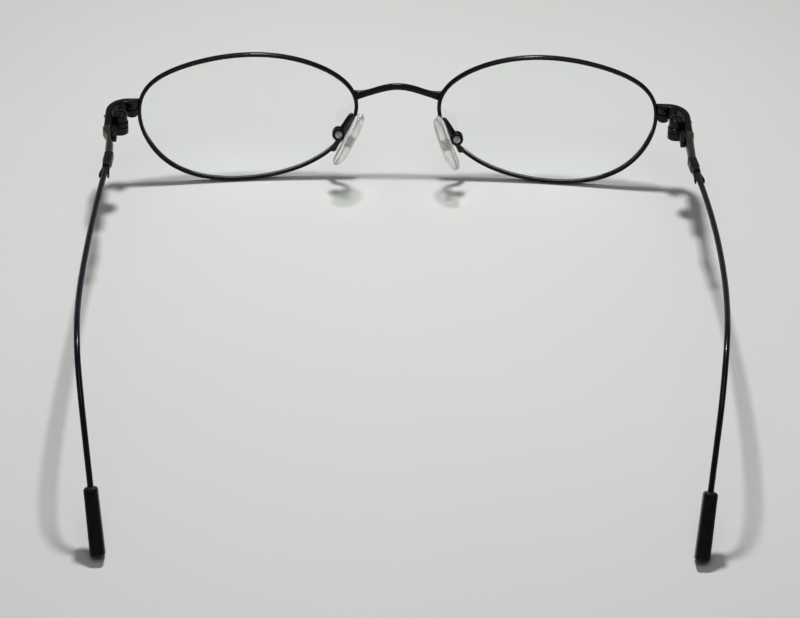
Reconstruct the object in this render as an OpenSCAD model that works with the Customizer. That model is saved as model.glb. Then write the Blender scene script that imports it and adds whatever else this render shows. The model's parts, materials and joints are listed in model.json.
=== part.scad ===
// Oval wire-rim spectacle frame that carries a magnetic clip, resting open on a table.
// Left and right are the wearer's: +X is the left side, the lenses face -Y, the temples run to +Y.

/* [Lenses] */
// Width of a lens at the tip of its bevel
lens_w = 47; // [44:0.5:50]
// Height of a lens at the tip of its bevel
lens_h = 28.4; // [26:0.2:31]
// Gap between the two lenses
lens_gap = 18; // [16:0.5:20]
// Height of the widest line above the middle of the lens
lens_lift = 2.3; // [0.5:0.1:3]
// How far the outline leans up towards the nose
lens_lean = 1.1; // [0:0.1:1.6]
// Thickness of a lens
lens_t = 1.6; // [1.2:0.1:2.2]
// Radius of the lens curve
lens_base_r = 130; // [100:5:200]
// Angle at which each lens wraps round the face
face_wrap = 4; // [1:0.5:6]

/* [Eyewires and bridge] */
// Radial thickness of an eyewire outside its groove
rim_out = 0.5; // [0.4:0.05:0.7]
// Depth of the groove that holds the lens bevel
groove_d = 0.35; // [0.25:0.05:0.45]
// Front to back depth of an eyewire
rim_d = 1.45; // [1.3:0.05:1.8]
// Width of the cut where the two ends of an eyewire meet
rim_cut = 0.16; // [0.12:0.02:0.24]
// Height of the bridge's ends above the middle of the lenses
bridge_v = 4.9; // [3:0.1:6]
// Rise of the bridge's arch
bridge_rise = 2.1; // [1:0.1:3.5]
// Height of the bridge bar at its middle
bridge_h = 1.45; // [1.2:0.05:1.7]
// Height of the bridge bar at its ends
bridge_end_h = 1.2; // [1:0.05:1.4]
// Front to back depth of the bridge bar
bridge_d = 1.1; // [0.9:0.05:1.4]

/* [End pieces] */
// Thickness of an end piece
lug_t = 1.7; // [1.6:0.1:2]
// Height of an end piece where it joins the eyewire
lug_h = 3.1; // [3:0.1:3.6]
// Height of an end piece at its butt
lug_butt_h = 2.6; // [2.4:0.1:3]
// Sideways size of the end piece's sweep round the bend
lug_sweep_w = 5.3; // [4.6:0.1:5.5]
// Front to back size of the end piece's sweep round the bend
lug_sweep_d = 6.5; // [5:0.1:7]
// Radius of the closing block
block_r = 1.15; // [1.05:0.05:1.3]
// Length of the closing block below its cut
block_low_l = 1.85; // [1.6:0.05:2.6]
// Radius of the eyewire screw
rim_screw_r = 0.4; // [0.35:0.05:0.45]
// Radius of a clip magnet
magnet_r = 1.1; // [0.9:0.05:1.2]
// Thickness of a clip magnet
magnet_t = 0.6; // [0.4:0.05:0.65]
// Radius of the stud on the side of an end piece
stud_r = 0.4; // [0.3:0.05:0.6]
// How far the stud stands proud
stud_h = 0.4; // [0.2:0.05:0.6]

/* [Hinges] */
// Distance of the hinge axis outside the lens
hinge_out = 3.7; // [3.5:0.1:4.2]
// Distance of the hinge axis behind the middle of the lens
hinge_back = 12; // [11.4:0.1:14]
// Radius of the upper knuckle
knuckle_r = 1.55; // [1.4:0.05:1.6]
// Radius of the temple's knuckle and the lower knuckle
knuckle_low_r = 1.75; // [1.65:0.05:1.85]
// Height of the upper knuckle
knuckle_top_h = 1.95; // [1.6:0.05:2.4]
// Height of the temple's knuckle
knuckle_mid_h = 1; // [0.8:0.05:1.2]
// Height of the lower knuckle
knuckle_low_h = 1.75; // [1.4:0.05:2.2]
// Gap between two knuckles
knuckle_gap = 0.05; // [0.03:0.01:0.08]
// Radius of the hinge screw's shank
hinge_screw_r = 0.6; // [0.5:0.05:0.65]
// Radius of the hinge screw's head
hinge_head_r = 0.95; // [0.8:0.05:1]
// Clearance of a screw in the piece that turns on it
screw_fit = 0.02; // [0.01:0.01:0.05]
// Distance of the butt behind the hinge axis
butt_y = 3.4; // [3:0.1:3.8]
// Gap between the two butt faces when the temple is open
butt_gap = 0.05; // [0.03:0.01:0.1]

/* [Temples] */
// Length of a temple from hinge axis to tip end, along the wire
temple_len = 133.5; // [125:0.5:142]
// Distance from hinge axis to the start of the ear bend
bend_at = 83; // [76:1:88]
// Radius of the ear bend
bend_r = 22; // [18:1:26]
// Angle of the ear bend
bend_deg = 62; // [54:1:68]
// Radius of the temple wire
wire_r = 0.54; // [0.45:0.01:0.65]
// Radius of the wire's outward bow in plan, before its widest place
bow_front_r = 500; // [450:10:800]
// Radius of the wire's outward bow in plan, behind its widest place
bow_back_r = 275; // [250:5:500]
// Distance from hinge axis to the widest place
bow_at = 67; // [60:1:72]
// Sideways set of both temples towards the wearer's right, got in wear
sway = 0.62; // [0:0.02:0.8]
// Angle at which the last stretch runs inwards
toe_in = 6.6; // [3:0.2:8]
// Thickness of a temple's flat front at its butt
front_w = 2; // [1.8:0.05:2.2]
// Thickness of a temple's flat front at the collar
front_end_w = 1.35; // [1.1:0.05:1.6]
// Height of a temple's flat front at its butt
front_h = 2.6; // [2.2:0.1:3]
// Height of a temple's flat front at the collar
front_end_h = 1.9; // [1.6:0.1:2.1]
// Distance from hinge axis to the collar
collar_at = 14.9; // [13:0.1:17]
// Length of the collar
collar_l = 5.8; // [4:0.2:8]
// Width of the collar
collar_w = 1.95; // [1.7:0.05:2.2]
// Height of the collar
collar_h = 2.1; // [1.9:0.05:2.4]
// Length of the collar's two prongs
prong_l = 3.6; // [2:0.2:5]
// Length of the plastic tip
tip_l = 13.7; // [11:0.1:18]
// Width of the plastic tip
tip_w = 2.85; // [2.4:0.05:3.4]
// Height of the plastic tip
tip_h = 3.6; // [3:0.1:5]

/* [Nose pads] */
// Length of a nose pad
pad_l = 13; // [11:0.5:15]
// Width of a nose pad
pad_w = 6.6; // [5.6:0.2:7.2]
// Thickness of a nose pad
pad_t = 2.4; // [2.2:0.1:2.6]
// Sideways distance from the middle plane to the centre of a pad
pad_x = 10.6; // [10:0.05:10.8]
// Height of a pad's centre against the middle of the lenses
pad_v = -3; // [-3.6:0.1:-2.6]
// How much the left pad is bent up and the right pad down
pad_skew = 0.42; // [0:0.02:0.5]
// Distance of a pad's centre behind the middle of the lenses
pad_back = 7.2; // [6.8:0.1:8]
// Lean of a pad seen from the front
pad_lean = 22.5; // [18:0.5:24]
// Angle by which the pads have rocked on their boxes
pad_rock = 3; // [0:0.5:4]
// Splay of a pad seen from above
pad_splay = 16; // [10:1:22]
// Sideways distance from the middle plane to the pad screw
box_x = 12.8; // [12.6:0.05:13.4]
// Height of the pad screw against the middle of the lenses
box_v = -2.4; // [-3:0.1:-2]
// Distance of the pad box's middle behind the middle of the lenses
box_back = 5.6; // [5.2:0.1:6]
// Radius of the pad box
box_r = 1.35; // [1.25:0.05:1.45]
// Length of the pad box
box_l = 2; // [1.8:0.1:2.4]
// Thickness of the pad's tab
tab_t = 0.7; // [0.5:0.05:0.8]
// Radius of the pad screw's shank
pad_screw_r = 0.45; // [0.35:0.05:0.5]
// Radius of the pad screw's head
pad_head_r = 0.85; // [0.75:0.05:0.9]
// Radius of the pad arm's wire
arm_r = 0.52; // [0.4:0.02:0.6]

/* [Hidden] */
$fn = 48;

lacquer = "#1b1c1e";
olive = "#3a3c38";
black_plastic = "#141416";
nickel = "#c9cbcc";
clear_lens = [0.86, 0.9, 0.9, 0.35];
clear_pad = [0.9, 0.92, 0.9, 0.55];

// Angle between the lens plane and a plane square to the temples
panto = 7;
// Steps round a lens outline
lens_steps = 96;
// Air between a lens bevel and its groove
lens_fit = 0.02;
// Half angle of the lens bevel and its groove, as depth over half width
bevel_slope = 1.05;
// How far a soldered end reaches into the piece it is soldered to
solder = 0.25;
// Thickness of the hinge leaves
leaf_t = 1.1;

// Lens outline

// An outline point at angle a, towards the nose positive: a mean line in x plus a height in x.
function mean_line(x) = lens_lift * (0.17 * x * x + 0.83 * pow(x, 4)) + lens_lean * x * (1 - 0.8 * x * x);
function half_height(x) = lens_h / 2 * (1 - 0.04 * x + 0.044 * x * x - 0.05 * pow(x, 3));
function outline(a) = [lens_w / 2 * cos(a), mean_line(cos(a)) + half_height(cos(a)) * sin(a)];
// The outline's outward normal
function outward(a) =
    let (d = outline(a + 0.5) - outline(a - 0.5))
    [d[1], -d[0]] / norm(d);
// Lens plane to frame front: side distance, distance back over the curve, height
function on_face(p, back) =
    [(lens_gap + lens_w) / 2 - p[0] * cos(face_wrap),
        (p[0] * p[0] + p[1] * p[1]) / (2 * lens_base_r) - p[0] * sin(face_wrap) + back, p[1]];
// A point of a rim section: r outwards from the bevel tip, back along the section
function at_rim(a, r, back) = on_face(outline(a) + r * outward(a), back);
// Height of the eyewire's cut, at the cut of the closing block
cut_v = lens_lift + 0.9;
cut_a = 180 - asin((cut_v - mean_line(-1)) / half_height(-1));
cut_half_a = rim_cut / 2 / half_height(-1) * 180 / PI;
lens_angles = [for (i = [0 : lens_steps - 1]) cut_a + i * 360 / lens_steps];

// A rim section: rounded outside, a lip, a groove and a lip inside
rim_crown = rim_out - 0.05;
lip = rim_d / 2 * 0.82;
rim_section = concat(
    [for (b = [-90 : 30 : 90]) [0.05 + rim_crown * cos(b), rim_d / 2 * sin(b)]],
    [[-groove_d, lip], [-groove_d, groove_d * bevel_slope], [0, 0],
        [-groove_d, -groove_d * bevel_slope], [-groove_d, -lip]]);
function rim_ring(a) = [for (q = rim_section) at_rim(a, q[0], q[1])];
rim_angles = concat([cut_a + cut_half_a], [for (i = [1 : lens_steps - 1]) lens_angles[i]],
    [cut_a + 360 - cut_half_a]);
rim_rings = [for (a = rim_angles) rim_ring(a)];

// Temple path in the hinge frame: x out from the hinge axis, y back along the temple, z up its axis

wire_free = collar_at + collar_l + prong_l;
wire_slope = (bow_at - wire_free) / bow_front_r;
toe_slope = tan(toe_in);
toe_at = bow_at + toe_slope * bow_back_r;
// The widest place stands this far outside the hinge axis
bow_x = 4.55;
// The set got in wear: out at the front, crossing over at the ear bend, the other way behind it
function worn(s) = sway * sin(180 * min(s, 95) / 78);
function bow(s) =
    s < wire_free ? bow(wire_free) - (wire_free - s) * wire_slope
    : s < bow_at ? bow_x - pow(bow_at - s, 2) / (2 * bow_front_r)
    : s < toe_at ? bow_x - pow(s - bow_at, 2) / (2 * bow_back_r)
    : bow(toe_at - 0.001) - (s - toe_at) * toe_slope;
bend_l = bend_r * bend_deg * PI / 180;
function turn(s) = min(max((s - bend_at) / bend_r * 180 / PI, 0), bend_deg);
function temple_pt(s, side) =
    let (over = max(s - bend_at - bend_l, 0), t = turn(s))
    [bow(s) - side * worn(s), min(s, bend_at) + bend_r * sin(t) + over * cos(bend_deg),
        -bend_r * (1 - cos(t)) - over * sin(bend_deg)];
tip_start = temple_len - tip_l;
function tip_pt(side) = temple_pt(tip_start, side);

// How the frame lies: it rests on the eyewires' lowest places and the ends of the tips

hinge_x = lens_gap / 2 + lens_w + hinge_out;
// Hinge frame to frame front
function from_hinge(p) =
    [p[0] + hinge_x, hinge_back + p[1] * cos(panto) + p[2] * sin(panto),
        lens_lift - p[1] * sin(panto) + p[2] * cos(panto)];
// Lowest corner of a tip, seen in the hinge frame
function tip_low(i) =
    let (end = tip_pt(0) + tip_l * [-sin(toe_in), cos(toe_in) * cos(bend_deg), -cos(toe_in) * sin(bend_deg)])
    end + i * (tip_h / 2 - tip_round) * [0, sin(bend_deg), cos(bend_deg)]
        - tip_round * [0, cos(bend_deg), -sin(bend_deg)];
tip_round = 0.7;
rim_points = [for (ring = rim_rings) each ring];
function height(p, tilt) = p[1] * sin(tilt) + p[2] * cos(tilt);
function depth(p, tilt) = p[1] * cos(tilt) - p[2] * sin(tilt);
function rim_floor(tilt) = min([for (p = rim_points) height(p, tilt)]);
function tip_floor(tilt) = min([for (i = [-1, 1]) height(from_hinge(tip_low(i)), tilt)]) - tip_round;
// Halve the range of tilts until both feet are level
function level(lo, hi, n) =
    let (mid = (lo + hi) / 2)
    n == 0 ? mid
    : tip_floor(mid) < rim_floor(mid) ? level(mid, hi, n - 1)
    : level(lo, mid, n - 1);
front_tilt = level(2, 30, 24);
temple_rise = front_tilt - panto;
front_z = -rim_floor(front_tilt);
front_y = min([for (p = rim_points) depth(p, front_tilt)]);
rear_y = max([for (i = [-1, 1]) depth(from_hinge(tip_low(i)), front_tilt)]) + tip_round;
mid_y = (front_y + rear_y) / 2;

echo(front_tilt = front_tilt, temple_rise = temple_rise, front_z = front_z, mid_y = mid_y);

// Placing

// Frame front to table: x to the side, y back from the lenses, z up
module front_place() {
    translate([0, -mid_y, front_z]) rotate([front_tilt, 0, 0]) children();
}
// Hinge frame to table
module hinge_place() {
    front_place() translate([hinge_x, hinge_back, lens_lift]) rotate([-panto, 0, 0]) children();
}
module both(side) {
    if (side > 0) children();
    else mirror([1, 0, 0]) children();
}
// Along a stretch of the temple: its start at distance s from the hinge axis
module at_temple(s, side) {
    p = temple_pt(s, side);
    d = temple_pt(s + 4, side) - p;
    translate(p) rotate([0, 0, -atan(d[0] / d[1])]) children();
}
module at_tip(side) {
    translate(tip_pt(side)) rotate([-bend_deg, 0, 0]) rotate([0, 0, toe_in]) children();
}
// Pad screw in the frame front, with z to the back
module box_place(side) {
    translate([box_x, box_back, box_v + side * pad_skew]) rotate([-90, 0, 0]) children();
}
// A pad rocks round its screw
module rocked(side) {
    translate([box_x, 0, box_v + side * pad_skew]) rotate([0, -side * pad_rock, 0])
        translate([-box_x, 0, -box_v]) children();
}
// Pad centre in the frame front
module pad_place(side) {
    rocked(side) translate([pad_x, pad_back, pad_v]) rotate([0, -pad_lean, 0])
        rotate([0, 0, -pad_splay]) children();
}

// Skin over a list of rings of points, closed round or capped at both ends
module skin(rings, round = false) {
    n = len(rings[0]);
    m = len(rings);
    walls = [for (i = [0 : (round ? m - 1 : m - 2)], j = [0 : n - 1])
        let (k = (i + 1) % m, l = (j + 1) % n)
        each [[i * n + j, i * n + l, k * n + l], [i * n + j, k * n + l, k * n + j]]];
    caps = round ? [] : [[for (j = [n - 1 : -1 : 0]) j], [for (j = [0 : n - 1]) (m - 1) * n + j]];
    polyhedron([for (ring = rings) each ring], concat(walls, caps));
}
// A round tube's rings along a path given by a list of points
function unit(v) = v / norm(v);
function tube_rings(path, r, sides, across = [1, 0, 0]) =
    [for (i = [0 : len(path) - 1])
        let (t = unit(path[min(i + 1, len(path) - 1)] - path[max(i - 1, 0)]),
            e = unit(across - (across * t) * t), f = cross(t, e))
        [for (j = [0 : sides - 1]) path[i] + r * (cos(j * 360 / sides) * e + sin(j * 360 / sides) * f)]];
function bezier(a, b, c, d, t) =
    pow(1 - t, 3) * a + 3 * t * pow(1 - t, 2) * b + 3 * t * t * (1 - t) * c + pow(t, 3) * d;

// Eyewires, lenses and bridge

module eyewire(side) {
    color(lacquer) both(side) front_place() skin(rim_rings);
}

// A lens is a shell between two curved faces whose edge carries the bevel
lens_edge = groove_d + 0.05;
lens_bevel_half = (lens_edge - lens_fit) * bevel_slope;
function lens_ring(share, back) =
    [for (a = lens_angles)
        let (p = (outline(a) - lens_edge * outward(a)) * share) on_face(p, back)];
module lens(side) {
    half_t = lens_t / 2;
    back_rings = [for (q = [0.06, 0.35, 0.7, 1]) lens_ring(q, half_t)];
    edge_rings = [lens_ring(1, lens_bevel_half),
        [for (a = lens_angles) at_rim(a, -lens_fit, 0)],
        lens_ring(1, -lens_bevel_half)];
    front_rings = [for (q = [1, 0.7, 0.35, 0.06]) lens_ring(q, -half_t)];
    color(clear_lens) both(side) front_place()
        skin(concat(back_rings, edge_rings, front_rings));
}

bridge_x = lens_gap / 2 - rim_out + solder;
// How far the eyewire's noseward side stands out at height z
function rim_side(z) = at_rim(asin((z - mean_line(1)) / half_height(1)), rim_out, 0)[0];
module bridge() {
    steps = 36;
    sides = 16;
    rings = [for (i = [0 : steps])
        let (x = -bridge_x + i * 2 * bridge_x / steps,
            up = pow((1 + cos(180 * x / (bridge_x + 0.6))) / 2, 0.8),
            flare = pow(abs(x) / bridge_x, 7) * 1.1,
            h = bridge_end_h + (bridge_h - bridge_end_h) * up + flare,
            slope = -bridge_rise * 1.5 / bridge_x * sin(180 * x / (bridge_x + 0.6)))
        [for (j = [0 : sides - 1])
            let (c = cos(j * 360 / sides), s = sin(j * 360 / sides),
                z = h / 2 * sign(c) * pow(abs(c), 0.7),
                v = bridge_v + bridge_rise * up + z,
                on = sign(x) * (rim_side(v) + solder - bridge_x) * pow(x / bridge_x, 8))
            [x + on - z * slope * (1 - pow(x / bridge_x, 4)),
                bridge_back + bridge_d / 2 * sign(s) * pow(abs(s), 0.7), v]]];
    color(lacquer) front_place() skin(rings);
}
// The bridge lies level with the eyewires' noseward places
bridge_back = at_rim(0, 0, 0)[1] - 0.3;

// End pieces, in the hinge frame

// Outer face, top, front face and eyewire end of the end piece
lug_out = 3.3;
lug_top = 1.5;
lug_front = -9;
rim_x = lens_gap / 2 + lens_w + rim_out - hinge_x;
// Pieces soldered to the eyewire start inside it and are cut to its outline
lug_in = rim_x - solder - 0.45;
leaf_out = lug_out - lug_t;
// The closing block's barrel and the web that joins it to the eyewire
block_x = rim_x + block_r - 0.1;
block_y = lug_front + lug_t + 0.1;
web_y = [lug_front + magnet_t + 0.1, lug_front + lug_t + 0.05];
block_mid = (cut_v - lens_lift + (web_y[0] + web_y[1]) / 2 * sin(panto)) / cos(panto);
block_top = lug_top;
magnet_x = lug_out - lug_sweep_w + 0.7;
magnet_z = lug_top - lug_h / 2;
magnet_proud = 0.05;
stud_y = -2.9;

// The end piece's outline seen from above: across from the eyewire, round the bend and back
function sweep_pt(b, w, d) =
    [lug_out - lug_sweep_w + w * pow(sin(b), 0.87), lug_front + lug_sweep_d - d * pow(cos(b), 0.87)];
module lug_plan() {
    steps = 12;
    outer = [for (i = [0 : steps]) sweep_pt(i * 90 / steps, lug_sweep_w, lug_sweep_d)];
    inner = [for (i = [steps : -1 : 0]) sweep_pt(i * 90 / steps, lug_sweep_w - lug_t, lug_sweep_d - lug_t)];
    polygon(concat([[lug_in, lug_front]], outer, [[lug_out, butt_y], [leaf_out, butt_y]], inner,
        [[lug_in, lug_front + lug_t]]));
}
// Its outline seen from the side: level on the way across, then drawn in towards the butt
module lug_side() {
    r = 0.5;
    bend_y = lug_front + lug_sweep_d - 2;
    polygon([[lug_front - 1, lug_top - lug_h], [lug_front - 1, lug_top], [bend_y, lug_top],
        [butt_y - r, lug_butt_h / 2], [butt_y - r * 0.3, lug_butt_h / 2 - r * 0.3],
        [butt_y, lug_butt_h / 2 - r], [butt_y, -lug_butt_h / 2 + r],
        [butt_y - r * 0.3, -lug_butt_h / 2 + r * 0.3], [butt_y - r, -lug_butt_h / 2],
        [bend_y, lug_top - lug_h]]);
}
module eyewire_seat() {
    rotate([panto, 0, 0]) translate([-hinge_x, -hinge_back, -lens_lift]) rotate([90, 0, 0])
        linear_extrude(40, center = true)
            polygon([for (a = [0 : 4 : 356]) let (p = at_rim(a, rim_out - solder, 0)) [p[0], p[2]]]);
}
module end_piece(side) {
    color(lacquer) both(side) hinge_place() difference() {
        intersection() {
            translate([0, 0, -5]) linear_extrude(10) lug_plan();
            rotate([90, 0, 90]) translate([0, 0, -10]) linear_extrude(20) lug_side();
        }
        block_shape(-5, 5, 1);
        eyewire_seat();
        hinge_leaf();
        translate([magnet_x, lug_front, magnet_z]) rotate([-90, 0, 0])
            cylinder(r = magnet_r + screw_fit, h = 2 * (magnet_t - magnet_proud), center = true);
        translate([lug_out, stud_y, 0]) rotate([0, 90, 0])
            cylinder(r = stud_r + screw_fit, h = stud_h, center = true);
        translate([0, 0, low_top]) cylinder(r = knuckle_low_r + 0.1, h = top_low - low_top);
    }
}
module clip_magnet(side) {
    color(nickel) both(side) hinge_place()
        translate([magnet_x, lug_front - magnet_proud, magnet_z]) rotate([-90, 0, 0])
            cylinder(r = magnet_r, h = magnet_t);
}
module end_stud(side) {
    foot = stud_h / 2;
    color(nickel) both(side) hinge_place() translate([lug_out - foot, stud_y, 0]) rotate([0, 90, 0]) {
        cylinder(r = stud_r, h = foot + stud_h * 0.6);
        translate([0, 0, foot + stud_h * 0.6]) cylinder(r1 = stud_r, r2 = stud_r * 0.6, h = stud_h * 0.4);
    }
}

// Closing blocks: the eyewire's two ends are soldered to them and the screw pulls them together
screw_head = 0.5;
module block_shape(z0, z1, past = 0) {
    translate([block_x, block_y, z0]) cylinder(r = block_r, h = z1 - z0);
    translate([lug_in - past, web_y[0], z0])
        cube([block_x - lug_in + past, web_y[1] - web_y[0], z1 - z0]);
}
module closing_block_upper(side) {
    color(lacquer) both(side) hinge_place() difference() {
        block_shape(block_mid + rim_cut / 2, block_top);
        eyewire_seat();
        translate([block_x, block_y, block_mid - 1])
            cylinder(r = rim_screw_r + screw_fit, h = 0.6 + block_top - block_mid);
    }
}
module closing_block_lower(side) {
    low = block_mid - block_low_l;
    edge = 0.35;
    color(lacquer) both(side) hinge_place() difference() {
        union() {
            block_shape(low + edge, block_mid - rim_cut / 2);
            translate([block_x, block_y, low]) cylinder(r1 = block_r - edge, r2 = block_r, h = edge);
        }
        eyewire_seat();
        translate([block_x, block_y, low - 1]) cylinder(r = rim_screw_r + screw_fit, h = block_low_l + 2);
        translate([block_x, block_y, low - 1])
            cylinder(r = rim_screw_r * 1.75 + screw_fit, h = 1 + screw_head);
    }
}
module rim_screw(side) {
    low = block_mid - block_low_l;
    color(nickel) both(side) hinge_place() translate([block_x, block_y, low]) difference() {
        union() {
            cylinder(r = rim_screw_r * 1.75, h = screw_head - screw_fit);
            cylinder(r = rim_screw_r, h = block_low_l + block_top - block_mid - 0.45);
        }
        cube([rim_screw_r * 4, 0.2, 0.4], center = true);
    }
}

// Hinges: two knuckles on the front, one on the temple and a screw through all three

mid_top = knuckle_mid_h / 2;
mid_low = -mid_top;
top_low = mid_top + knuckle_gap;
top_top = top_low + knuckle_top_h;
low_top = mid_low - knuckle_gap;
low_low = low_top - knuckle_low_h;
screw_head_l = 0.6;
leaf_in = leaf_out - leaf_t;
module knuckle(r, z0, z1) {
    translate([0, 0, z0]) intersection() {
        union() {
            cylinder(r = r, h = z1 - z0);
            translate([0, -r, 0]) cube([leaf_out, 2 * r, z1 - z0]);
        }
        translate([-5, -5, 0]) cube([5 + leaf_out, 10, z1 - z0]);
    }
}
// The front leaf is let into the end piece and soldered there
module hinge_leaf() {
    leaf_front = lug_front + lug_sweep_d - 3.2;
    translate([leaf_in, leaf_front, lug_top - lug_h + 0.1]) cube([leaf_t, -leaf_front, lug_h - 0.2]);
}
module hinge_front(side) {
    color(lacquer) both(side) hinge_place() difference() {
        union() {
            knuckle(knuckle_r, top_low, top_top);
            knuckle(knuckle_low_r, low_low, low_top);
            hinge_leaf();
        }
        translate([0, 0, low_low - 1]) cylinder(r = hinge_screw_r + screw_fit, h = 20);
        translate([0, 0, top_top - screw_head_l]) cylinder(r = hinge_head_r + screw_fit, h = 5);
        translate([0, 0, low_top]) cylinder(r = knuckle_low_r + 0.1, h = top_low - low_top);
    }
}
module hinge_screw(side) {
    color(nickel) both(side) hinge_place() difference() {
        union() {
            translate([0, 0, low_low]) cylinder(r = hinge_screw_r, h = top_top - low_low - 0.1);
            translate([0, 0, top_top - screw_head_l + screw_fit])
                cylinder(r = hinge_head_r, h = screw_head_l - 0.1);
        }
        translate([0, 0, top_top]) cube([hinge_head_r * 3, 0.25, 0.7], center = true);
    }
}
// The temple's leaf passes between the two front knuckles and is soldered inside the temple
temple_in = 1.55;
leaf_back = butt_y + 4.2;
module hinge_temple(side) {
    tall = 1.15;
    color(lacquer) both(side) hinge_place() difference() {
        union() {
            translate([0, 0, mid_low]) cylinder(r = knuckle_low_r, h = knuckle_mid_h);
            translate([temple_in - leaf_t, 0, mid_low]) cube([leaf_t, butt_y + 1, knuckle_mid_h]);
            translate([temple_in - leaf_t, butt_y, -tall]) cube([leaf_t, leaf_back - butt_y - tall, 2 * tall]);
            translate([temple_in - leaf_t, leaf_back - tall, 0]) rotate([0, 90, 0])
                cylinder(r = tall, h = leaf_t);
        }
        translate([0, 0, mid_low - 1]) cylinder(r = hinge_screw_r + screw_fit, h = knuckle_mid_h + 2);
    }
}

// Temples, in the hinge frame

// A smooth step from 0 to 1
function ease(t) = (1 - cos(180 * min(max(t, 0), 1))) / 2;
module temple_front_plan(side) {
    y0 = butt_y + butt_gap;
    steps = 14;
    end_x = temple_pt(collar_at, side)[0];
    butt_x = temple_in + front_w;
    // The back end is square to the collar's direction
    lean = front_end_w / 8 * (temple_pt(collar_at + 4, side)[0] - end_x);
    outer = [for (i = [0 : steps])
        let (y = y0 + (collar_at - y0) * i / steps, back = i == steps ? lean : 0)
        [butt_x + (end_x + front_end_w / 2 - butt_x) * ease((y - y0 - 1.6) / 6), y - back]];
    inner = [for (i = [steps : -1 : 0])
        let (y = y0 + (collar_at - y0) * i / steps, on = i == steps ? lean : 0)
        [temple_in + (end_x - front_end_w / 2 - temple_in) * ease((y - leaf_back) / 4), y + on]];
    polygon(concat([[butt_x - 0.5, y0]], [[butt_x - 0.15, y0 + 0.15]], [[butt_x, y0 + 0.5]],
        [for (i = [1 : steps]) outer[i]], inner));
}
module temple_front_side() {
    y0 = butt_y + butt_gap;
    r = 0.5;
    polygon([[y0, -front_h / 2 + r], [y0, front_h / 2 - r], [y0 + r * 0.3, front_h / 2 - r * 0.3],
        [y0 + r, front_h / 2], [y0 + 4, front_h / 2 - 0.1], [collar_at + 0.2, front_end_h / 2],
        [collar_at + 0.2, -front_end_h / 2], [y0 + 4, -front_h / 2 + 0.1], [y0 + r, -front_h / 2],
        [y0 + r * 0.3, -front_h / 2 + r * 0.3]]);
}
module temple_front(side) {
    color(olive) both(side) hinge_place() intersection() {
        translate([0, 0, -5]) linear_extrude(10) temple_front_plan(side);
        rotate([90, 0, 90]) translate([0, 0, -10]) linear_extrude(20) temple_front_side();
    }
}
module temple_collar(side) {
    r = 0.4;
    prong_h = 0.9;
    color(lacquer) both(side) hinge_place() at_temple(collar_at, side) difference() {
        union() {
            intersection() {
                translate([-collar_w / 2, 0, -collar_h / 2]) cube([collar_w, collar_l, collar_h]);
                rotate([-90, 0, 0]) cylinder(r = norm([collar_w, collar_h]) / 2 - r / 2, h = collar_l);
            }
            translate([0, collar_l, -wire_r]) linear_extrude(prong_h)
                polygon([[-collar_w / 2 + 0.05, -0.1], [-collar_w / 2 - 0.1, prong_l - 0.3],
                    [-collar_w / 2 + 0.1, prong_l], [collar_w / 2 - 0.1, prong_l],
                    [collar_w / 2 + 0.1, prong_l - 0.3], [collar_w / 2 - 0.05, -0.1]]);
        }
        translate([0, 0.4, 0]) rotate([-90, 0, 0]) cylinder(r = wire_r + screw_fit, h = collar_l + prong_l);
        translate([0, collar_l + prong_l, 0]) rotate([0, 0, 45])
            cube([wire_r * 1.9, wire_r * 1.9, 3], center = true);
    }
}
// The wire starts in the collar's bore and ends in the tip's bore
wire_start = collar_at + 0.5;
tip_bore_l = tip_l - 2;
module temple_wire(side) {
    wire_end = tip_start + tip_bore_l - 0.2;
    steps = 56;
    path = [for (i = [0 : steps]) temple_pt(wire_start + (wire_end - wire_start) * i / steps, side)];
    color(lacquer) both(side) hinge_place() skin(tube_rings(path, wire_r, 10));
}
// A rounded box's rings along y: its long edges and both ends have radius tip_round
module temple_tip(side) {
    x = tip_w / 2 - tip_round;
    z = tip_h / 2 - tip_round;
    depths = [for (b = [10 : 20 : 90]) tip_round * (1 - cos(b))];
    stops = concat(depths, [for (i = [len(depths) - 1 : -1 : 0]) tip_l - depths[i]]);
    rings = [for (y = stops)
        let (in = min(y, tip_l - y), r = sqrt(in * (2 * tip_round - in)))
        [for (c = [0 : 3], b = [0 : 22.5 : 90])
            let (a = c * 90 + b, i = c == 0 || c == 3 ? 1 : -1, k = c < 2 ? 1 : -1)
            [i * x + r * cos(a), y, k * z + r * sin(a)]]];
    color(black_plastic) both(side) hinge_place() at_tip(side) difference() {
        skin(rings);
        translate([0, -1, 0]) rotate([-90, 0, 0]) cylinder(r = wire_r + screw_fit * 2, h = tip_bore_l + 1);
    }
}

// Nose pads, in the frame front

foot_a = -38;
arm_foot = at_rim(foot_a, rim_out * 0.3, rim_d / 2 - 0.1);
module pad_arm(side) {
    steps = 14;
    up = [0, 0, side * pad_skew];
    top = [10.15, 4.1, 1.1] + up;
    end = [box_x - 0.7, box_back, box_v + 0.95] + up;
    rise = [for (i = [0 : steps - 1])
        bezier(arm_foot, arm_foot + [-0.5, 2, 0.9], top + [0.8, -1.9, -2.1], top, i / steps)];
    fall = [for (i = [0 : steps])
        bezier(top, top + [-0.33, 0.8, 0.85], end + [-0.75, -0.15, 1.5], end, i / steps)];
    color(lacquer) both(side) front_place() skin(tube_rings(concat(rise, fall), arm_r, 10));
}
module pad_box(side) {
    slot = tab_t + 2 * screw_fit;
    wall = 0.45;
    color(lacquer) both(side) front_place() box_place(side) difference() {
        translate([0, 0, -box_l / 2]) cylinder(r = box_r, h = box_l);
        translate([-box_r * 3 + box_r - wall, -box_r * 2, -slot / 2]) cube([box_r * 3, box_r * 4, slot]);
        translate([0, 0, -box_l]) cylinder(r = pad_screw_r + screw_fit, h = box_l * 2);
        translate([0, 0, box_l / 2 - 0.25]) cylinder(r = pad_head_r + 0.08, h = box_l);
    }
}
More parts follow.
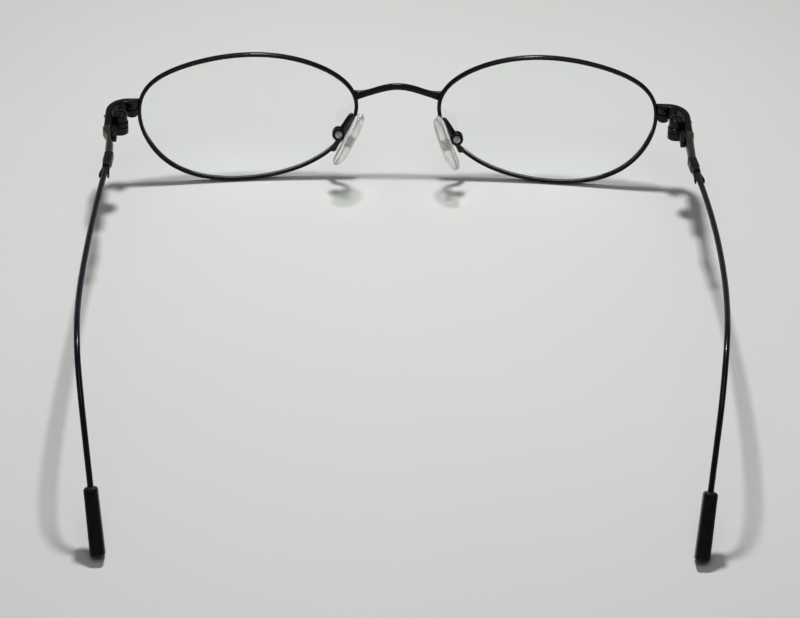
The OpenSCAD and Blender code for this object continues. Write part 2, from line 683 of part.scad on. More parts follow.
module pad_screw(side) {
    head = 0.45;
    color(nickel) both(side) front_place() box_place(side) difference() {
        union() {
            translate([0, 0, -box_l / 2]) cylinder(r = pad_screw_r, h = box_l);
            translate([0, 0, box_l / 2 - 0.25 + screw_fit]) {
                cylinder(r = pad_head_r, h = head * 0.5);
                translate([0, 0, head * 0.5]) cylinder(r1 = pad_head_r, r2 = pad_head_r * 0.7, h = head * 0.5);
            }
        }
        translate([0, 0, box_l / 2 + 0.25]) rotate([0, 0, 35]) cube([pad_head_r * 3, 0.22, 0.3], center = true);
    }
}
// The core is a plate inside the pad with a tab that turns on the screw
eye_r = box_r - 0.55;
core_t = 0.5;
core_w = 1.8;
core_l = 2.4;
module core_plate(side, air) {
    pad_place(side) translate([0.2, 0, -0.3])
        cube([core_t + 2 * air, core_w + 2 * air, core_l + 2 * air], center = true);
}
module core_tab(side, air) {
    reach = box_x - pad_x + 0.3;
    wide = 1.1 + 2 * air;
    thick = tab_t + 2 * air;
    box_place(side) cylinder(r = eye_r, h = thick, center = true);
    rocked(side) translate([box_x, box_back, box_v]) rotate([0, -atan2(box_v - pad_v, reach), 0])
        translate([-reach, -thick / 2, -wide / 2]) cube([reach, thick, wide]);
}
module pad_core(side) {
    color(nickel) both(side) front_place() difference() {
        union() {
            core_plate(side, 0);
            core_tab(side, 0);
        }
        box_place(side) cylinder(r = pad_screw_r + screw_fit, h = 10, center = true);
    }
}
// A pad is a drop: rings along its length, closed at both ends, wider below
module nose_pad(side) {
    rows = 18;
    sides = 16;
    rings = [for (i = [1 : rows - 1])
        let (t = -cos(180 * i / rows), wide = pow(1 - pow(abs(t), 3.2), 0.5) * (1 - 0.16 * t),
            thick = pow(1 - pow(t, 6), 0.6))
        [for (j = [0 : sides - 1])
            let (c = cos(j * 360 / sides), s = sin(j * 360 / sides))
            [pad_t / 2 * thick * sign(c) * pow(abs(c), 0.8) - 0.25 * (1 - t * t), pad_w / 2 * wide * s,
                pad_l / 2 * t]]];
    color(clear_pad) both(side) front_place() difference() {
        pad_place(side) skin(rings);
        core_plate(side, 0.02);
        core_tab(side, 0.02);
    }
}

eyewire(1);  // eyewire_left
eyewire(-1);  // eyewire_right
bridge();
end_piece(1);  // end_piece_left
end_piece(-1);  // end_piece_right
closing_block_upper(1);  // closing_block_upper_left
closing_block_upper(-1);  // closing_block_upper_right
closing_block_lower(1);  // closing_block_lower_left
closing_block_lower(-1);  // closing_block_lower_right
rim_screw(1);  // rim_screw_left
rim_screw(-1);  // rim_screw_right
lens(1);  // lens_left
lens(-1);  // lens_right
pad_arm(1);  // pad_arm_left
pad_arm(-1);  // pad_arm_right
pad_box(1);  // pad_box_left
pad_box(-1);  // pad_box_right
pad_screw(1);  // pad_screw_left
pad_screw(-1);  // pad_screw_right
pad_core(1);  // pad_core_left
pad_core(-1);  // pad_core_right
nose_pad(1);  // nose_pad_left
nose_pad(-1);  // nose_pad_right
clip_magnet(1);  // clip_magnet_left
clip_magnet(-1);  // clip_magnet_right
end_stud(1);  // end_stud_left
end_stud(-1);  // end_stud_right
hinge_front(1);  // hinge_front_left
hinge_front(-1);  // hinge_front_right
hinge_screw(1);  // hinge_screw_left
hinge_screw(-1);  // hinge_screw_right
hinge_temple(1);  // hinge_temple_left
hinge_temple(-1);  // hinge_temple_right
temple_front(1);  // temple_front_left
temple_front(-1);  // temple_front_right
temple_collar(1);  // temple_collar_left
temple_collar(-1);  // temple_collar_right
temple_wire(1);  // temple_wire_left
temple_wire(-1);  // temple_wire_right
temple_tip(1);  // temple_tip_left
temple_tip(-1);  // temple_tip_right
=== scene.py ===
"""Looks of an oval wire-rim spectacle frame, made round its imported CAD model.

Shapes are worked out in millimetres in four frames and put on the table in metres: the frame
front (x to the side, y back from the lenses, z up), the hinge frame (its z is the hinge axis),
the pad screw's frame and the pad's own. The left half is computed and the right half is its
mirror image, apart from the set that the temples and pads have got in wear.
"""

import json
import math

import bpy
import numpy as np
from mathutils import Matrix, Vector


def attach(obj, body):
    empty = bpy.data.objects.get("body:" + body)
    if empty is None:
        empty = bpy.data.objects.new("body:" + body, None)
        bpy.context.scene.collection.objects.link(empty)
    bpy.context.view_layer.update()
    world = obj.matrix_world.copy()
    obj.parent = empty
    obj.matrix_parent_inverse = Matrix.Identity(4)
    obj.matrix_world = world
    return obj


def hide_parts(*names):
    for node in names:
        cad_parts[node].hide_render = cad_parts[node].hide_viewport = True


bl_info = {
    "name": "Wire-rim spectacle frame",
    "version": (1, 0, 0),
    "blender": (4, 5, 0),
    "location": "View3D > Sidebar > Spectacles",
    "description": "Builds the pieces and finishes of an oval wire-rim spectacle frame",
    "category": "Object",
}

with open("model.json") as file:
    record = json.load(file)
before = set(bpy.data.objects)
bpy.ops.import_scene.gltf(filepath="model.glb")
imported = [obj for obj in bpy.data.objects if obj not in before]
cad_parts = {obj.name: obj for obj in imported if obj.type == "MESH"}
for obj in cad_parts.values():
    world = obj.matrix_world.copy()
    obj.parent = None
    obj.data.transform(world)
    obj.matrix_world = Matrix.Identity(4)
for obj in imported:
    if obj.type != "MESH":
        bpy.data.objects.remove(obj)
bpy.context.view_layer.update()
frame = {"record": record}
BODY_OF_NODE = {
    node: body
    for body, nodes in frame["record"]["behaviour"]["bodies"].items()
    for node in nodes
}
SLOT_OF_NODE = {part["node"]: part["material_slot"] for part in frame["record"]["subparts"]}
# The record has nickel for the closing screws; here they take the hinge screws' finish
SLOT_OF_NODE.update(rim_screw_left="dark_screw", rim_screw_right="dark_screw")

# Sizes in millimetres and degrees, as in the CAD source but for a few hundredths on wires, pad
# arms and pad boxes and the plan of the temple fronts

LENS_W, LENS_H, LENS_GAP = 47.0, 28.4, 18.0
LENS_LIFT, LENS_LEAN, LENS_T, LENS_BASE_R = 2.3, 1.1, 1.6, 130.0
FACE_WRAP, RIM_OUT, GROOVE_D, RIM_D, RIM_CUT = 4.0, 0.5, 0.35, 1.45, 0.16
BRIDGE_V, BRIDGE_RISE, BRIDGE_H, BRIDGE_END_H, BRIDGE_D = 4.9, 2.1, 1.45, 1.2, 1.1
LUG_T, LUG_H, LUG_BUTT_H, SWEEP_W, SWEEP_D = 1.7, 3.1, 2.6, 5.3, 6.5
LUG_OUT, LUG_TOP, LUG_FRONT = 3.3, 1.5, -9.0
BLOCK_R, BLOCK_LOW_L, RIM_SCREW_R, RIM_SCREW_HEAD = 1.15, 1.85, 0.4, 0.5
MAGNET_R, MAGNET_T, MAGNET_PROUD = 1.1, 0.6, 0.05
STUD_R, STUD_H, STUD_Y = 0.4, 0.4, -2.9
HINGE_X, HINGE_BACK, PANTO = 59.7, 12.0, 7.0
KNUCKLE_R, KNUCKLE_LOW_R = 1.55, 1.75
TOP_LOW, TOP_TOP, MID_TOP, LOW_TOP, LOW_LOW = 0.55, 2.5, 0.5, -0.55, -2.3
PIVOT_R, PIVOT_HEAD_R, PIVOT_HEAD_L, FIT = 0.6, 0.95, 0.6, 0.02
BUTT_Y, BUTT_GAP, LEAF_T, TEMPLE_IN = 3.4, 0.05, 1.1, 1.55
TEMPLE_LEN, BEND_AT, BEND_R, BEND_DEG = 133.5, 83.0, 22.0, 62.0
WIRE_R, BOW_FRONT_R, BOW_BACK_R, BOW_AT, BOW_X = 0.61, 500.0, 275.0, 67.0, 4.55
SWAY, SWAY_HALF, SWAY_END, TOE_IN = 0.62, 78.0, 95.0, 6.6
FRONT_W, FRONT_END_W, FRONT_END_OUT, FRONT_H, FRONT_END_H = 2.0, 1.35, 0.94, 2.6, 1.9
COLLAR_AT, COLLAR_L, COLLAR_W, COLLAR_H, PRONG_L = 14.9, 5.8, 1.95, 2.1, 3.6
TIP_L, TIP_W, TIP_H, TIP_ROUND = 13.7, 2.85, 3.6, 0.7
PAD_L, PAD_W, PAD_T, PAD_X, PAD_V, PAD_BACK = 13.0, 6.6, 2.4, 10.6, -3.0, 7.2
PAD_SKEW, PAD_LEAN, PAD_ROCK, PAD_SPLAY = 0.42, 22.5, 3.0, 16.0
BOX_X, BOX_V, BOX_BACK, BOX_R, BOX_L, TAB_T = 12.8, -2.4, 5.6, 1.42, 2.0, 0.7
PAD_SCREW_R, PAD_HEAD_R, ARM_R, ARM_FOOT = 0.45, 0.85, 0.58, -38.0
ARM_CROWN = (10.15, 4.1, 1.1)
FRONT_TILT, FRONT_Z, MID_Y, SOLDER = 15.0978, 14.0591, 63.4999, 0.25

RIM_X = LENS_GAP / 2 + LENS_W + RIM_OUT - HINGE_X
LUG_IN = RIM_X - SOLDER
LEAF_OUT = LUG_OUT - LUG_T
LEAF_BACK = BUTT_Y + 4.2
BLOCK_X, BLOCK_Y = RIM_X + BLOCK_R - 0.1, LUG_FRONT + LUG_T + 0.1
WEB_Y = (LUG_FRONT + MAGNET_T + 0.1, LUG_FRONT + LUG_T + 0.05)
CUT_V = LENS_LIFT + 0.9
MAGNET_X, MAGNET_Z = LUG_OUT - SWEEP_W + 0.7, LUG_TOP - LUG_H / 2
WIRE_FREE = COLLAR_AT + COLLAR_L + PRONG_L
TIP_START = TEMPLE_LEN - TIP_L

# Sizes of the fine shapes that only the looks have

RIM_FLAT, LIP_SHARE, GROOVE_SLOPE = 0.05, 0.82, 1.05
LIP_BEVEL = ((-0.24, 0.03), (-0.32, -0.005), (-GROOVE_D, -0.05))
BRIDGE_SQUARE, BRIDGE_FLARE, BRIDGE_FORWARD = 0.7, 1.1, 0.3
FRONT_EASE_AT, FRONT_EASE_L, FRONT_CORNER = 0.3, 4.4, 0.62
LINE_AT, LINE_DEPTH, LINE_W, NECK_AT, NECK_IN = 0.95, 0.07, 0.14, 3.7, 0.2
PRONG_OUT, PRONG_SPREAD, PRONG_H, PRONG_ROOT = 0.78, 0.3, 0.9, 0.3
BORE_MOUTH, HEAD_TURN, BOX_WALL, EYE_R = 0.05, 35.0, 0.45, 0.8
CORE_OUTER, CORE_WINDOW, CORE_SQUARE, CORE_HALF_T = (0.9, 1.2), (0.42, 0.62), 0.45, 0.25
PAD_BELLY, PAD_NARROW = 0.25, 0.16

AXIS_R, LEAST_R, TINY = 0.02, 0.01, 1e-6
SHARP_DEG = 40
MM = 0.001
SIDES = ((1, "left"), (-1, "right"))


# Frames


def turned(points, axis, degrees):
    """Points turned about one axis by an angle, by the right-hand rule."""
    matrix = np.array(Matrix.Rotation(math.radians(degrees), 3, axis))
    return np.asarray(points, float) @ matrix.T


def from_front(points, side):
    """Frame front to table: tilted back about x, lifted on to its feet, mirrored for the right."""
    placed = turned(points, "X", FRONT_TILT) + [0, -MID_Y, FRONT_Z]
    return placed * [side, 1, 1]


def from_hinge(points, side):
    """Hinge frame to table: turned down by the pantoscopic angle, then as the frame front."""
    return from_front(turned(points, "X", -PANTO) + [HINGE_X, HINGE_BACK, LENS_LIFT], side)


def from_box(points, side):
    """Pad screw frame to table: its z points back from the lenses."""
    placed = turned(points, "X", -90) + [BOX_X, BOX_BACK, BOX_V + side * PAD_SKEW]
    return from_front(placed, side)


def rocked(points, side):
    """A pad's points in the frame front, turned about its screw by the rock got in wear."""
    about = turned(np.asarray(points, float) - [BOX_X, 0, BOX_V], "Y", -side * PAD_ROCK)
    return about + [BOX_X, 0, BOX_V + side * PAD_SKEW]


def from_pad(points, side):
    """Pad frame to table: splayed, leaned and rocked."""
    leaned = turned(turned(points, "Z", -PAD_SPLAY), "Y", -PAD_LEAN)
    return from_front(rocked(leaned + [PAD_X, PAD_BACK, PAD_V], side), side)


# Points, outlines and curves


def joined(*coordinates):
    """Points from their coordinates, each an array or a number."""
    return np.stack(np.broadcast_arrays(*coordinates), -1)


def unit(vectors):
    """Vectors brought to length 1."""
    return vectors / np.linalg.norm(vectors, axis=-1, keepdims=True)


def right_of(along):
    """Unit vectors in the plane, square to others and to their right."""
    return unit(joined(along[..., 1], -along[..., 0]))


def signed_power(values, power):
    """Sizes raised to a power with their signs kept, as a superellipse needs."""
    return np.sign(values) * np.abs(values) ** power


def chord(radius, distance):
    """Half a circle's chord at a distance d from its middle: sqrt(r^2 - d^2), or 0 outside."""
    return np.sqrt(np.maximum(radius * radius - distance * distance, 0))


def ease(t):
    """A smooth step from 0 to 1, half a cosine wave."""
    return (1 - np.cos(math.pi * np.clip(t, 0, 1))) / 2


def bezier(a, b, c, d, t):
    """The cubic curve with end points a, d and handles b, c, at each t."""
    t = np.asarray(t, float)[:, None]
    a, b, c, d = (np.asarray(p, float) for p in (a, b, c, d))
    return (1 - t) ** 3 * a + 3 * t * (1 - t) ** 2 * b + 3 * t * t * (1 - t) * c + t**3 * d


def angles_round(count):
    """Evenly spaced angles all the way round."""
    return np.arange(count) * 2 * math.pi / count


def directions(angles):
    """Unit vectors in the plane at the given angles."""
    return joined(np.cos(angles), np.sin(angles))


def disc(radius, count=96):
    """A circle's outline about the origin."""
    return radius * directions(angles_round(count))


def disc_segment(radius, x0, count):
    """The outline of a disc's part beyond x0: along rays from that part's middle, the nearer of
    the circle and the straight side."""
    angles = angles_round(count)
    centre = (radius + x0) / 2
    far = np.linalg.norm(reach(angles, [(-centre, 0, radius)]), axis=1)
    far = np.minimum(far, (centre - x0) / np.maximum(-np.cos(angles), TINY))
    return directions(angles) * far[:, None] + [centre, 0]


def reach(angles, circles=(), boxes=(), clip_x=None):
    """How far the joined circles and boxes reach from the origin along each angle.

    A ray leaves a circle about c at d.c + sqrt((d.c)^2 + r^2 - c.c), and a box at its nearest
    far side. clip_x cuts everything off at that x.
    """
    d = directions(angles)
    far = np.zeros(len(angles))
    for cx, cy, r in circles:
        b = d @ np.array([cx, cy])
        far = np.maximum(far, b + np.sqrt(np.maximum(b * b + r * r - cx * cx - cy * cy, 0)))
    for x0, x1, y0, y1 in boxes:
        with np.errstate(divide="ignore", invalid="ignore"):
            tx = np.sort(np.stack([x0 / d[:, 0], x1 / d[:, 0]]), axis=0)
            ty = np.sort(np.stack([y0 / d[:, 1], y1 / d[:, 1]]), axis=0)
        leave, enter = np.minimum(tx[1], ty[1]), np.maximum(tx[0], ty[0])
        far = np.where((leave > enter) & (leave > 0), np.maximum(far, leave), far)
    if clip_x is not None:
        far = np.minimum(far, clip_x / np.maximum(d[:, 0], TINY))
    return d * far[:, None]


def rounded_box_ring(across, up, corner, per_corner=7):
    """Arrays of (across, up) from the lower corner of rounded rectangles, one row each.

    Each corner is a quarter circle of radius corner about a point that far inside both sides.
    """
    b = np.linspace(0, math.pi / 2, per_corner)
    turn = np.concatenate([b + k * math.pi / 2 for k in range(4)])
    right = np.repeat([1, 0, 0, 1], per_corner)
    top = np.repeat([1, 1, 0, 0], per_corner)
    across, up, corner = (np.asarray(v, float)[:, None] for v in (across, up, corner))
    a = corner + right * (across - 2 * corner) + corner * np.cos(turn)
    u = corner + top * (up - 2 * corner) + corner * np.sin(turn)
    return a, u


def rounded_rectangle(x0, x1, y0, y1, corner):
    """A rectangle's outline with quarter-circle corners."""
    a, u = rounded_box_ring([x1 - x0], [y1 - y0], [corner])
    return joined(a[0] + x0, u[0] + y0)


# Surfaces on a grid


def loft(rings, closed=False):
    """A surface through rings of points: row i, column j of the grid is ring i's point j.

    Its quads join neighbours on the grid, and its two end rings are capped unless it is closed.
    """
    rings = np.asarray(rings, float)
    rows, cols = rings.shape[:2]
    i = np.arange(rows if closed else rows - 1)[:, None]
    j = np.arange(cols)[None, :]
    below, above, beside = i * cols, (i + 1) % rows * cols, (j + 1) % cols
    quads = np.stack([below + j, below + beside, above + beside, above + j], -1)
    faces = quads.reshape(-1, 4).tolist()
    if not closed:
        faces += [list(range(cols))[::-1], list(range((rows - 1) * cols, rows * cols))]
    return rings.reshape(-1, 3), faces


def level_ring(outline, z):
    """An outline at height z."""
    return joined(*outline.T, z)


def quarter(steps):
    """Pairs of inset and advance along a rounded edge of unit radius, a quarter circle."""
    b = np.linspace(0, math.pi / 2, steps)
    return joined(1 - np.sin(b), 1 - np.cos(b))


def walls(outline, z0, z1, edge, steps=5):
    """Rings up a plate's side from z0 to z1, with both edges rounded by a quarter circle. They
    draw in along normals square to the chord between each point's neighbours."""
    normal = right_of(np.roll(outline, -1, 0) - np.roll(outline, 1, 0))
    if (normal * (outline - outline.mean(0))).sum() < 0:
        normal = -normal
    low = [level_ring(outline - normal * edge * i, z0 + edge * a) for i, a in quarter(steps)]
    high = [level_ring(outline - normal * edge * i, z1 - edge * a) for i, a in quarter(steps)]
    return low + high[::-1]


def slab(outline, z0, z1, edge):
    """A plate with a given outline and rounded edges."""
    return loft(walls(outline, z0, z1, edge))


def bush(outline, bore, z0, z1, edge):
    """A plate with a bore: up its rounded outside, then down the bore's steps.

    bore is a list of (radius, z) from the top down. The outline is given about the bore's axis.
    """
    inner = [level_ring(unit(outline) * r, z) for r, z in bore]
    return loft(walls(outline, z0, z1, edge) + inner, closed=True)


def through_hole(radius, top, low):
    """The (radius, z) steps of a straight bore with a bevelled mouth at both ends."""
    wide = radius + BORE_MOUTH
    return [(wide, top), (radius, top - BORE_MOUTH), (radius, low + BORE_MOUTH), (wide, low)]


def revolved(profile, count=64):
    """A profile of (radius, z) turned about z. Its ends lie near the axis and are capped."""
    return loft([level_ring(disc(1.0, count) * r, z) for r, z in profile])


def end_inset(distance, length, edge_start, edge_end):
    """How far a bar's sides draw in near its ends: e - sqrt(e^2 - (e - d)^2) at distance d."""
    inset = np.zeros(len(distance))
    for d, e in ((distance, edge_start), (length - distance, edge_end)):
        if e > 0:
            inset = np.maximum(inset, e - chord(e, np.clip(e - d, 0, e)))
    return inset


def along_bar(length, edge_start, edge_end, steps, edge_steps=6):
    """Distances along a bar, close together in its rounded ends."""
    dense = 1 - np.cos(np.linspace(0, math.pi / 2, edge_steps))
    start = edge_start * dense if edge_start > 0 else np.array([0.0])
    end = length - edge_end * dense[::-1] if edge_end > 0 else np.array([length])
    middle = np.linspace(start[-1], end[0], steps + 2)[1:-1]
    return np.concatenate([start, middle, end])


def bar(outer, inner, low, high, inset, corner):
    """A bar whose plan lies between two curves and whose height lies between two levels.

    At each step a rounded rectangle spans from outer to inner and from low to high, less inset.
    """
    span = inner - outer
    thick = np.linalg.norm(span, axis=1)
    low, high = (np.broadcast_to(level, thick.shape) for level in (low, high))
    r = np.minimum(corner, np.minimum(thick, high - low) / 2 - inset - LEAST_R)
    a, u = rounded_box_ring(thick - 2 * inset, high - low - 2 * inset, np.maximum(r, LEAST_R))
    a, u = a + inset[:, None], u + inset[:, None]
    plan = outer[:, None, :] + (span / thick[:, None])[:, None, :] * a[..., None]
    return np.concatenate([plan, (low[:, None] + u)[..., None]], -1)


def tube(path, radius, sides=28):
    """Rings of a round tube: at each point of the path a circle square to its tangent."""
    across = np.array([1.0, 0.0, 0.0])
    tangent = unit(np.gradient(path, axis=0))
    e = unit(across - (tangent @ across)[:, None] * tangent)
    f = np.cross(tangent, e)
    b = angles_round(sides)[None, :, None]
    radius = np.broadcast_to(radius, (len(path),))[:, None, None]
    return path[:, None] + radius * (np.cos(b) * e[:, None] + np.sin(b) * f[:, None])


# Pieces


def enclosed(points, faces):
    """Six times the volume inside a shell: the sum over its faces of the fans' triple products."""
    fans = [(f[0], f[k], f[k + 1]) for f in faces for k in range(1, len(f) - 1)]
    a, b, c = (points[np.array(fans)[:, k]] for k in range(3))
    return float((a * np.cross(b, c)).sum())


def make_piece(name, shells, node):
    """One object of closed shells, in metres, which stands for a CAD node, rides on its body and
    has its finish. A shell whose faces point inwards is turned over."""
    slot = SLOT_OF_NODE[node]
    points, faces, start = [], [], 0
    for shell_points, shell_faces in shells if isinstance(shells, list) else [shells]:
        inside_out = enclosed(shell_points, shell_faces) < 0
        faces += [[start + v for v in (f[::-1] if inside_out else f)] for f in shell_faces]
        points.append(shell_points)
        start += len(shell_points)
    mesh = bpy.data.meshes.new(name)
    mesh.from_pydata((np.concatenate(points) * MM).tolist(), [], faces)
    mesh.polygons.foreach_set("use_smooth", np.ones(len(mesh.polygons), bool))
    mesh.set_sharp_from_angle(angle=math.radians(SHARP_DEG))
    mesh.materials.append(material_for(slot))
    mesh.validate()
    piece = bpy.data.objects.new(name, mesh)
    bpy.context.scene.collection.objects.link(piece)
    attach(piece, BODY_OF_NODE[node])
    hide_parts(node)
    return piece


# Lens outline and rims


def mean_line(x):
    """Height of the middle of the lens outline over x, which runs from -1 to 1.

    It lifts towards both ends by powers of x, and leans up to the nose by an odd cubic.
    """
    return LENS_LIFT * (0.17 * x * x + 0.83 * x**4) + LENS_LEAN * x * (1 - 0.8 * x * x)


def half_height(x):
    """Half the height of the lens outline over x, a cubic near 1 times half the lens height."""
    return LENS_H / 2 * (1 - 0.04 * x + 0.044 * x * x - 0.05 * x**3)


def outline_at(a):
    """The lens outline at angle a: its mean line plus half its height times the sine."""
    x = np.cos(a)
    return joined(LENS_W / 2 * x, mean_line(x) + half_height(x) * np.sin(a))


def outward_at(a):
    """The lens outline's outward unit normal at angle a."""
    step = math.radians(0.5)
    return right_of(outline_at(a + step) - outline_at(a - step))


def on_face(p, back):
    """Lens plane to frame front: wrapped round the face, on the sphere of the lens curve."""
    wrap = math.radians(FACE_WRAP)
    x = (LENS_GAP + LENS_W) / 2 - p[..., 0] * math.cos(wrap)
    y = (p**2).sum(-1) / (2 * LENS_BASE_R) - p[..., 0] * math.sin(wrap) + back
    return joined(x, y, p[..., 1])


def cut_angle():
    """The outline's angle at the cut of the eyewire, and half the cut's width as an angle."""
    lateral = half_height(-1.0)
    angle = math.pi - math.asin((CUT_V - mean_line(-1.0)) / lateral)
    return angle, RIM_CUT / 2 / lateral


def rim_section():
    """The eyewire's section as (outwards, back): half an ellipse, two lips and a V groove."""
    b = np.radians(np.linspace(-90, 90, 27))
    outside = joined(RIM_FLAT + (RIM_OUT - RIM_FLAT) * np.cos(b), RIM_D / 2 * np.sin(b))
    lip, mouth = RIM_D / 2 * LIP_SHARE, GROOVE_D * GROOVE_SLOPE
    back_lip = [(r, lip + y) for r, y in LIP_BEVEL]
    groove = [(-GROOVE_D, mouth), (0.0, 0.0), (-GROOVE_D, -mouth)]
    front_lip = [(r, -y) for r, y in back_lip[::-1]]
    return np.concatenate([outside, back_lip, groove, front_lip])


def rim_shell(side, steps=520):
    """The eyewire: its section carried round the lens outline, from its cut round to its cut."""
    cut, half = cut_angle()
    a = np.linspace(cut + half, cut + 2 * math.pi - half, steps)[:, None]
    section = rim_section()[None]
    p = outline_at(a) + section[..., :1] * outward_at(a)
    return loft(from_front(on_face(p, section[..., 1]), side))


def lens_shell(side, steps=360):
    """The lens: two faces of concentric outlines on the lens curve, joined by a bevelled edge."""
    a = cut_angle()[0] + angles_round(steps)
    edge = GROOVE_D + 0.05
    bevel = (edge - FIT) * GROOVE_SLOPE
    base = outline_at(a) - edge * outward_at(a)
    shares = np.concatenate([[0.004], np.linspace(0.04, 0.985, 26), [0.995, 1.0]])
    drop = np.zeros(len(shares))
    drop[-2:] = 0.015, 0.08
    face = [(base * share, LENS_T / 2 - d) for share, d in zip(shares, drop)]
    back = [on_face(p, y) for p, y in face]
    front = [on_face(p, -y) for p, y in face[::-1]]
    tip = on_face(outline_at(a) - FIT * outward_at(a), 0.0)
    edges = [on_face(base, bevel), tip, on_face(base, -bevel)]
    return loft(from_front(np.array(back + edges + front), side))


def bridge_shell(steps=140, sides=44):
    """The bridge: a bar of superelliptic section along a cosine arch, flared at its ends.

    Its end faces follow the eyewires' outlines, and in between its sections stand square to the
    arch. The flare grows as the seventh power of the distance from the middle.
    """
    reach_x = LENS_GAP / 2 - RIM_OUT + SOLDER
    x = np.linspace(-reach_x, reach_x, steps + 1)[:, None]
    share = x / reach_x
    wave = math.pi * x / (reach_x + 0.6)
    up = ((1 + np.cos(wave)) / 2) ** 0.8
    h = BRIDGE_END_H + (BRIDGE_H - BRIDGE_END_H) * up + BRIDGE_FLARE * np.abs(share) ** 7
    slope = -BRIDGE_RISE * 1.5 / reach_x * np.sin(wave)
    c, s = directions(angles_round(sides)).T
    z = h / 2 * signed_power(c, BRIDGE_SQUARE)
    back = on_face(outline_at(0.0), 0.0)[1] - BRIDGE_FORWARD
    v = BRIDGE_V + BRIDGE_RISE * up + z
    a = np.arcsin((v - mean_line(1.0)) / half_height(1.0))
    rim_side = on_face(outline_at(a) + RIM_OUT * outward_at(a), 0.0)[..., 0]
    on = np.sign(x) * (rim_side + SOLDER - reach_x) * share**8
    y = back + BRIDGE_D / 2 * signed_power(s, BRIDGE_SQUARE)
    return loft(from_front(joined(x + on - z * slope * (1 - share**4), y, v), 1))


# End pieces, closing blocks and hinges, in the hinge frame


def sweep_curve(width, depth, b):
    """A superellipse quarter in plan, from straight across to straight back."""
    x = LUG_OUT - SWEEP_W + width * np.sin(b) ** 0.87
    return joined(x, LUG_FRONT + SWEEP_D - depth * np.cos(b) ** 0.87)


def rim_offset(y, z, r):
    """How much nearer to the nose than the rim's side the rim lies at y and height z, in x."""
    tilt = math.radians(PANTO)
    v = LENS_LIFT - y * math.sin(tilt) + z * math.cos(tilt)
    a = math.pi - np.arcsin(np.clip((v - mean_line(-1.0)) / half_height(-1.0), -1, 1))
    return on_face(outline_at(a) + r * outward_at(a), 0.0)[..., 0] - HINGE_X - RIM_X


def end_bar_shell(side, edge=0.34):
    """The end piece: a rounded bar across from the rim, round a superelliptic bend and back.

    It follows the rim at its start, thins to a skin where the closing block stands behind it and
    beside the lower knuckle, and is drawn in at the butt.
    """
    bend_x, run = LUG_OUT - SWEEP_W, LUG_FRONT + SWEEP_D
    across = np.linspace(RIM_X, bend_x, 16)[:-1]
    straight = run + along_bar(BUTT_Y - run, 0, edge, 18)[1:]
    outer, inner = (
        np.concatenate([
            joined(across, LUG_FRONT + inside),
            sweep_curve(SWEEP_W - inside, SWEEP_D - inside, np.linspace(0, math.pi / 2, 42)),
            joined(LUG_OUT - inside, straight),
        ])
        for inside in (0, LUG_T)
    )
    barrel = chord(BLOCK_R, np.maximum(outer[:, 0] - BLOCK_X, 0))
    share = np.minimum((BLOCK_Y + 0.02 - barrel - LUG_FRONT) / LUG_T, 1)
    room = chord(KNUCKLE_LOW_R + 0.1, inner[:, 1])
    near_hinge = (np.abs(inner[:, 1]) < 1.0) & (inner[:, 0] > LEAF_OUT - 0.01)
    share = np.where(near_hinge, 1 - np.maximum(room - LEAF_OUT, 0) / LUG_T, share)
    inner = outer + (inner - outer) * share[:, None]
    y, taper_at = outer[:, 1], run - 2
    taper = np.clip((y - taper_at) / (BUTT_Y - taper_at), 0, 1)
    high = LUG_TOP + (LUG_BUTT_H / 2 - LUG_TOP) * taper
    low = LUG_TOP - LUG_H + (LUG_H - LUG_TOP - LUG_BUTT_H / 2) * taper
    inset = end_inset(y - LUG_FRONT, BUTT_Y - LUG_FRONT, 0, edge)
    rings = bar(outer, inner, low, high, inset, edge)
    near_rim = 1 - ease((outer[:, 0] - RIM_X) / (bend_x - RIM_X))
    rings[..., 0] += near_rim[:, None] * rim_offset(rings[..., 1], rings[..., 2], RIM_OUT - 0.4)
    return loft(from_hinge(rings, side))


def block_outline():
    """The closing block's plan about its bore: a round barrel and the web to the rim."""
    web = (LUG_IN - BLOCK_X, 0.0, WEB_Y[0] - BLOCK_Y, WEB_Y[1] - BLOCK_Y)
    return reach(angles_round(96), [(0, 0, BLOCK_R)], [web])


def block_levels():
    """Heights of the eyewire's cut, at the web, and of the lower block's end."""
    tilt = math.radians(PANTO)
    mid = (CUT_V - LENS_LIFT + sum(WEB_Y) / 2 * math.sin(tilt)) / math.cos(tilt)
    return mid, mid - BLOCK_LOW_L


def at_block(shell, side):
    """A shell about the closing block's bore, on the table."""
    points, faces = shell
    return from_hinge(points + [BLOCK_X, BLOCK_Y, 0], side), faces


def block_upper_shell(side):
    """The upper half of the closing block, from the cut to the end piece's top."""
    return at_block(slab(block_outline(), block_levels()[0] + RIM_CUT / 2, LUG_TOP, 0.12), side)


def block_lower_shell(side):
    """The lower half of the closing block, with the screw's bore and the seat of its head."""
    mid, low = block_levels()
    top, sink = mid - RIM_CUT / 2, low + RIM_SCREW_HEAD
    bore, seat = RIM_SCREW_R + FIT, RIM_SCREW_R * 1.75 + FIT
    steps = [(bore, top), (bore, sink), (seat, sink), (seat, low)]
    return at_block(bush(block_outline(), steps, low, top, 0.2), side)


def rim_screw_shells(side):
    """The closing screw: a slotted head let into the lower half, and a shank up into the upper."""
    low = block_levels()[1]
    levels = (-low - RIM_SCREW_HEAD + FIT, -low - 0.06)
    head = slotted_head(RIM_SCREW_R * 1.75, *levels, 0.2, 0.2, 0.06, 0.05)
    shank = revolved([
        (AXIS_R, low + 0.2), (RIM_SCREW_R, low + 0.2),
        (RIM_SCREW_R, LUG_TOP - 0.5), (AXIS_R, LUG_TOP - 0.45),
    ], 40)
    return [at_block(s, side) for s in [*((p * [1, 1, -1], f) for p, f in head), shank]]


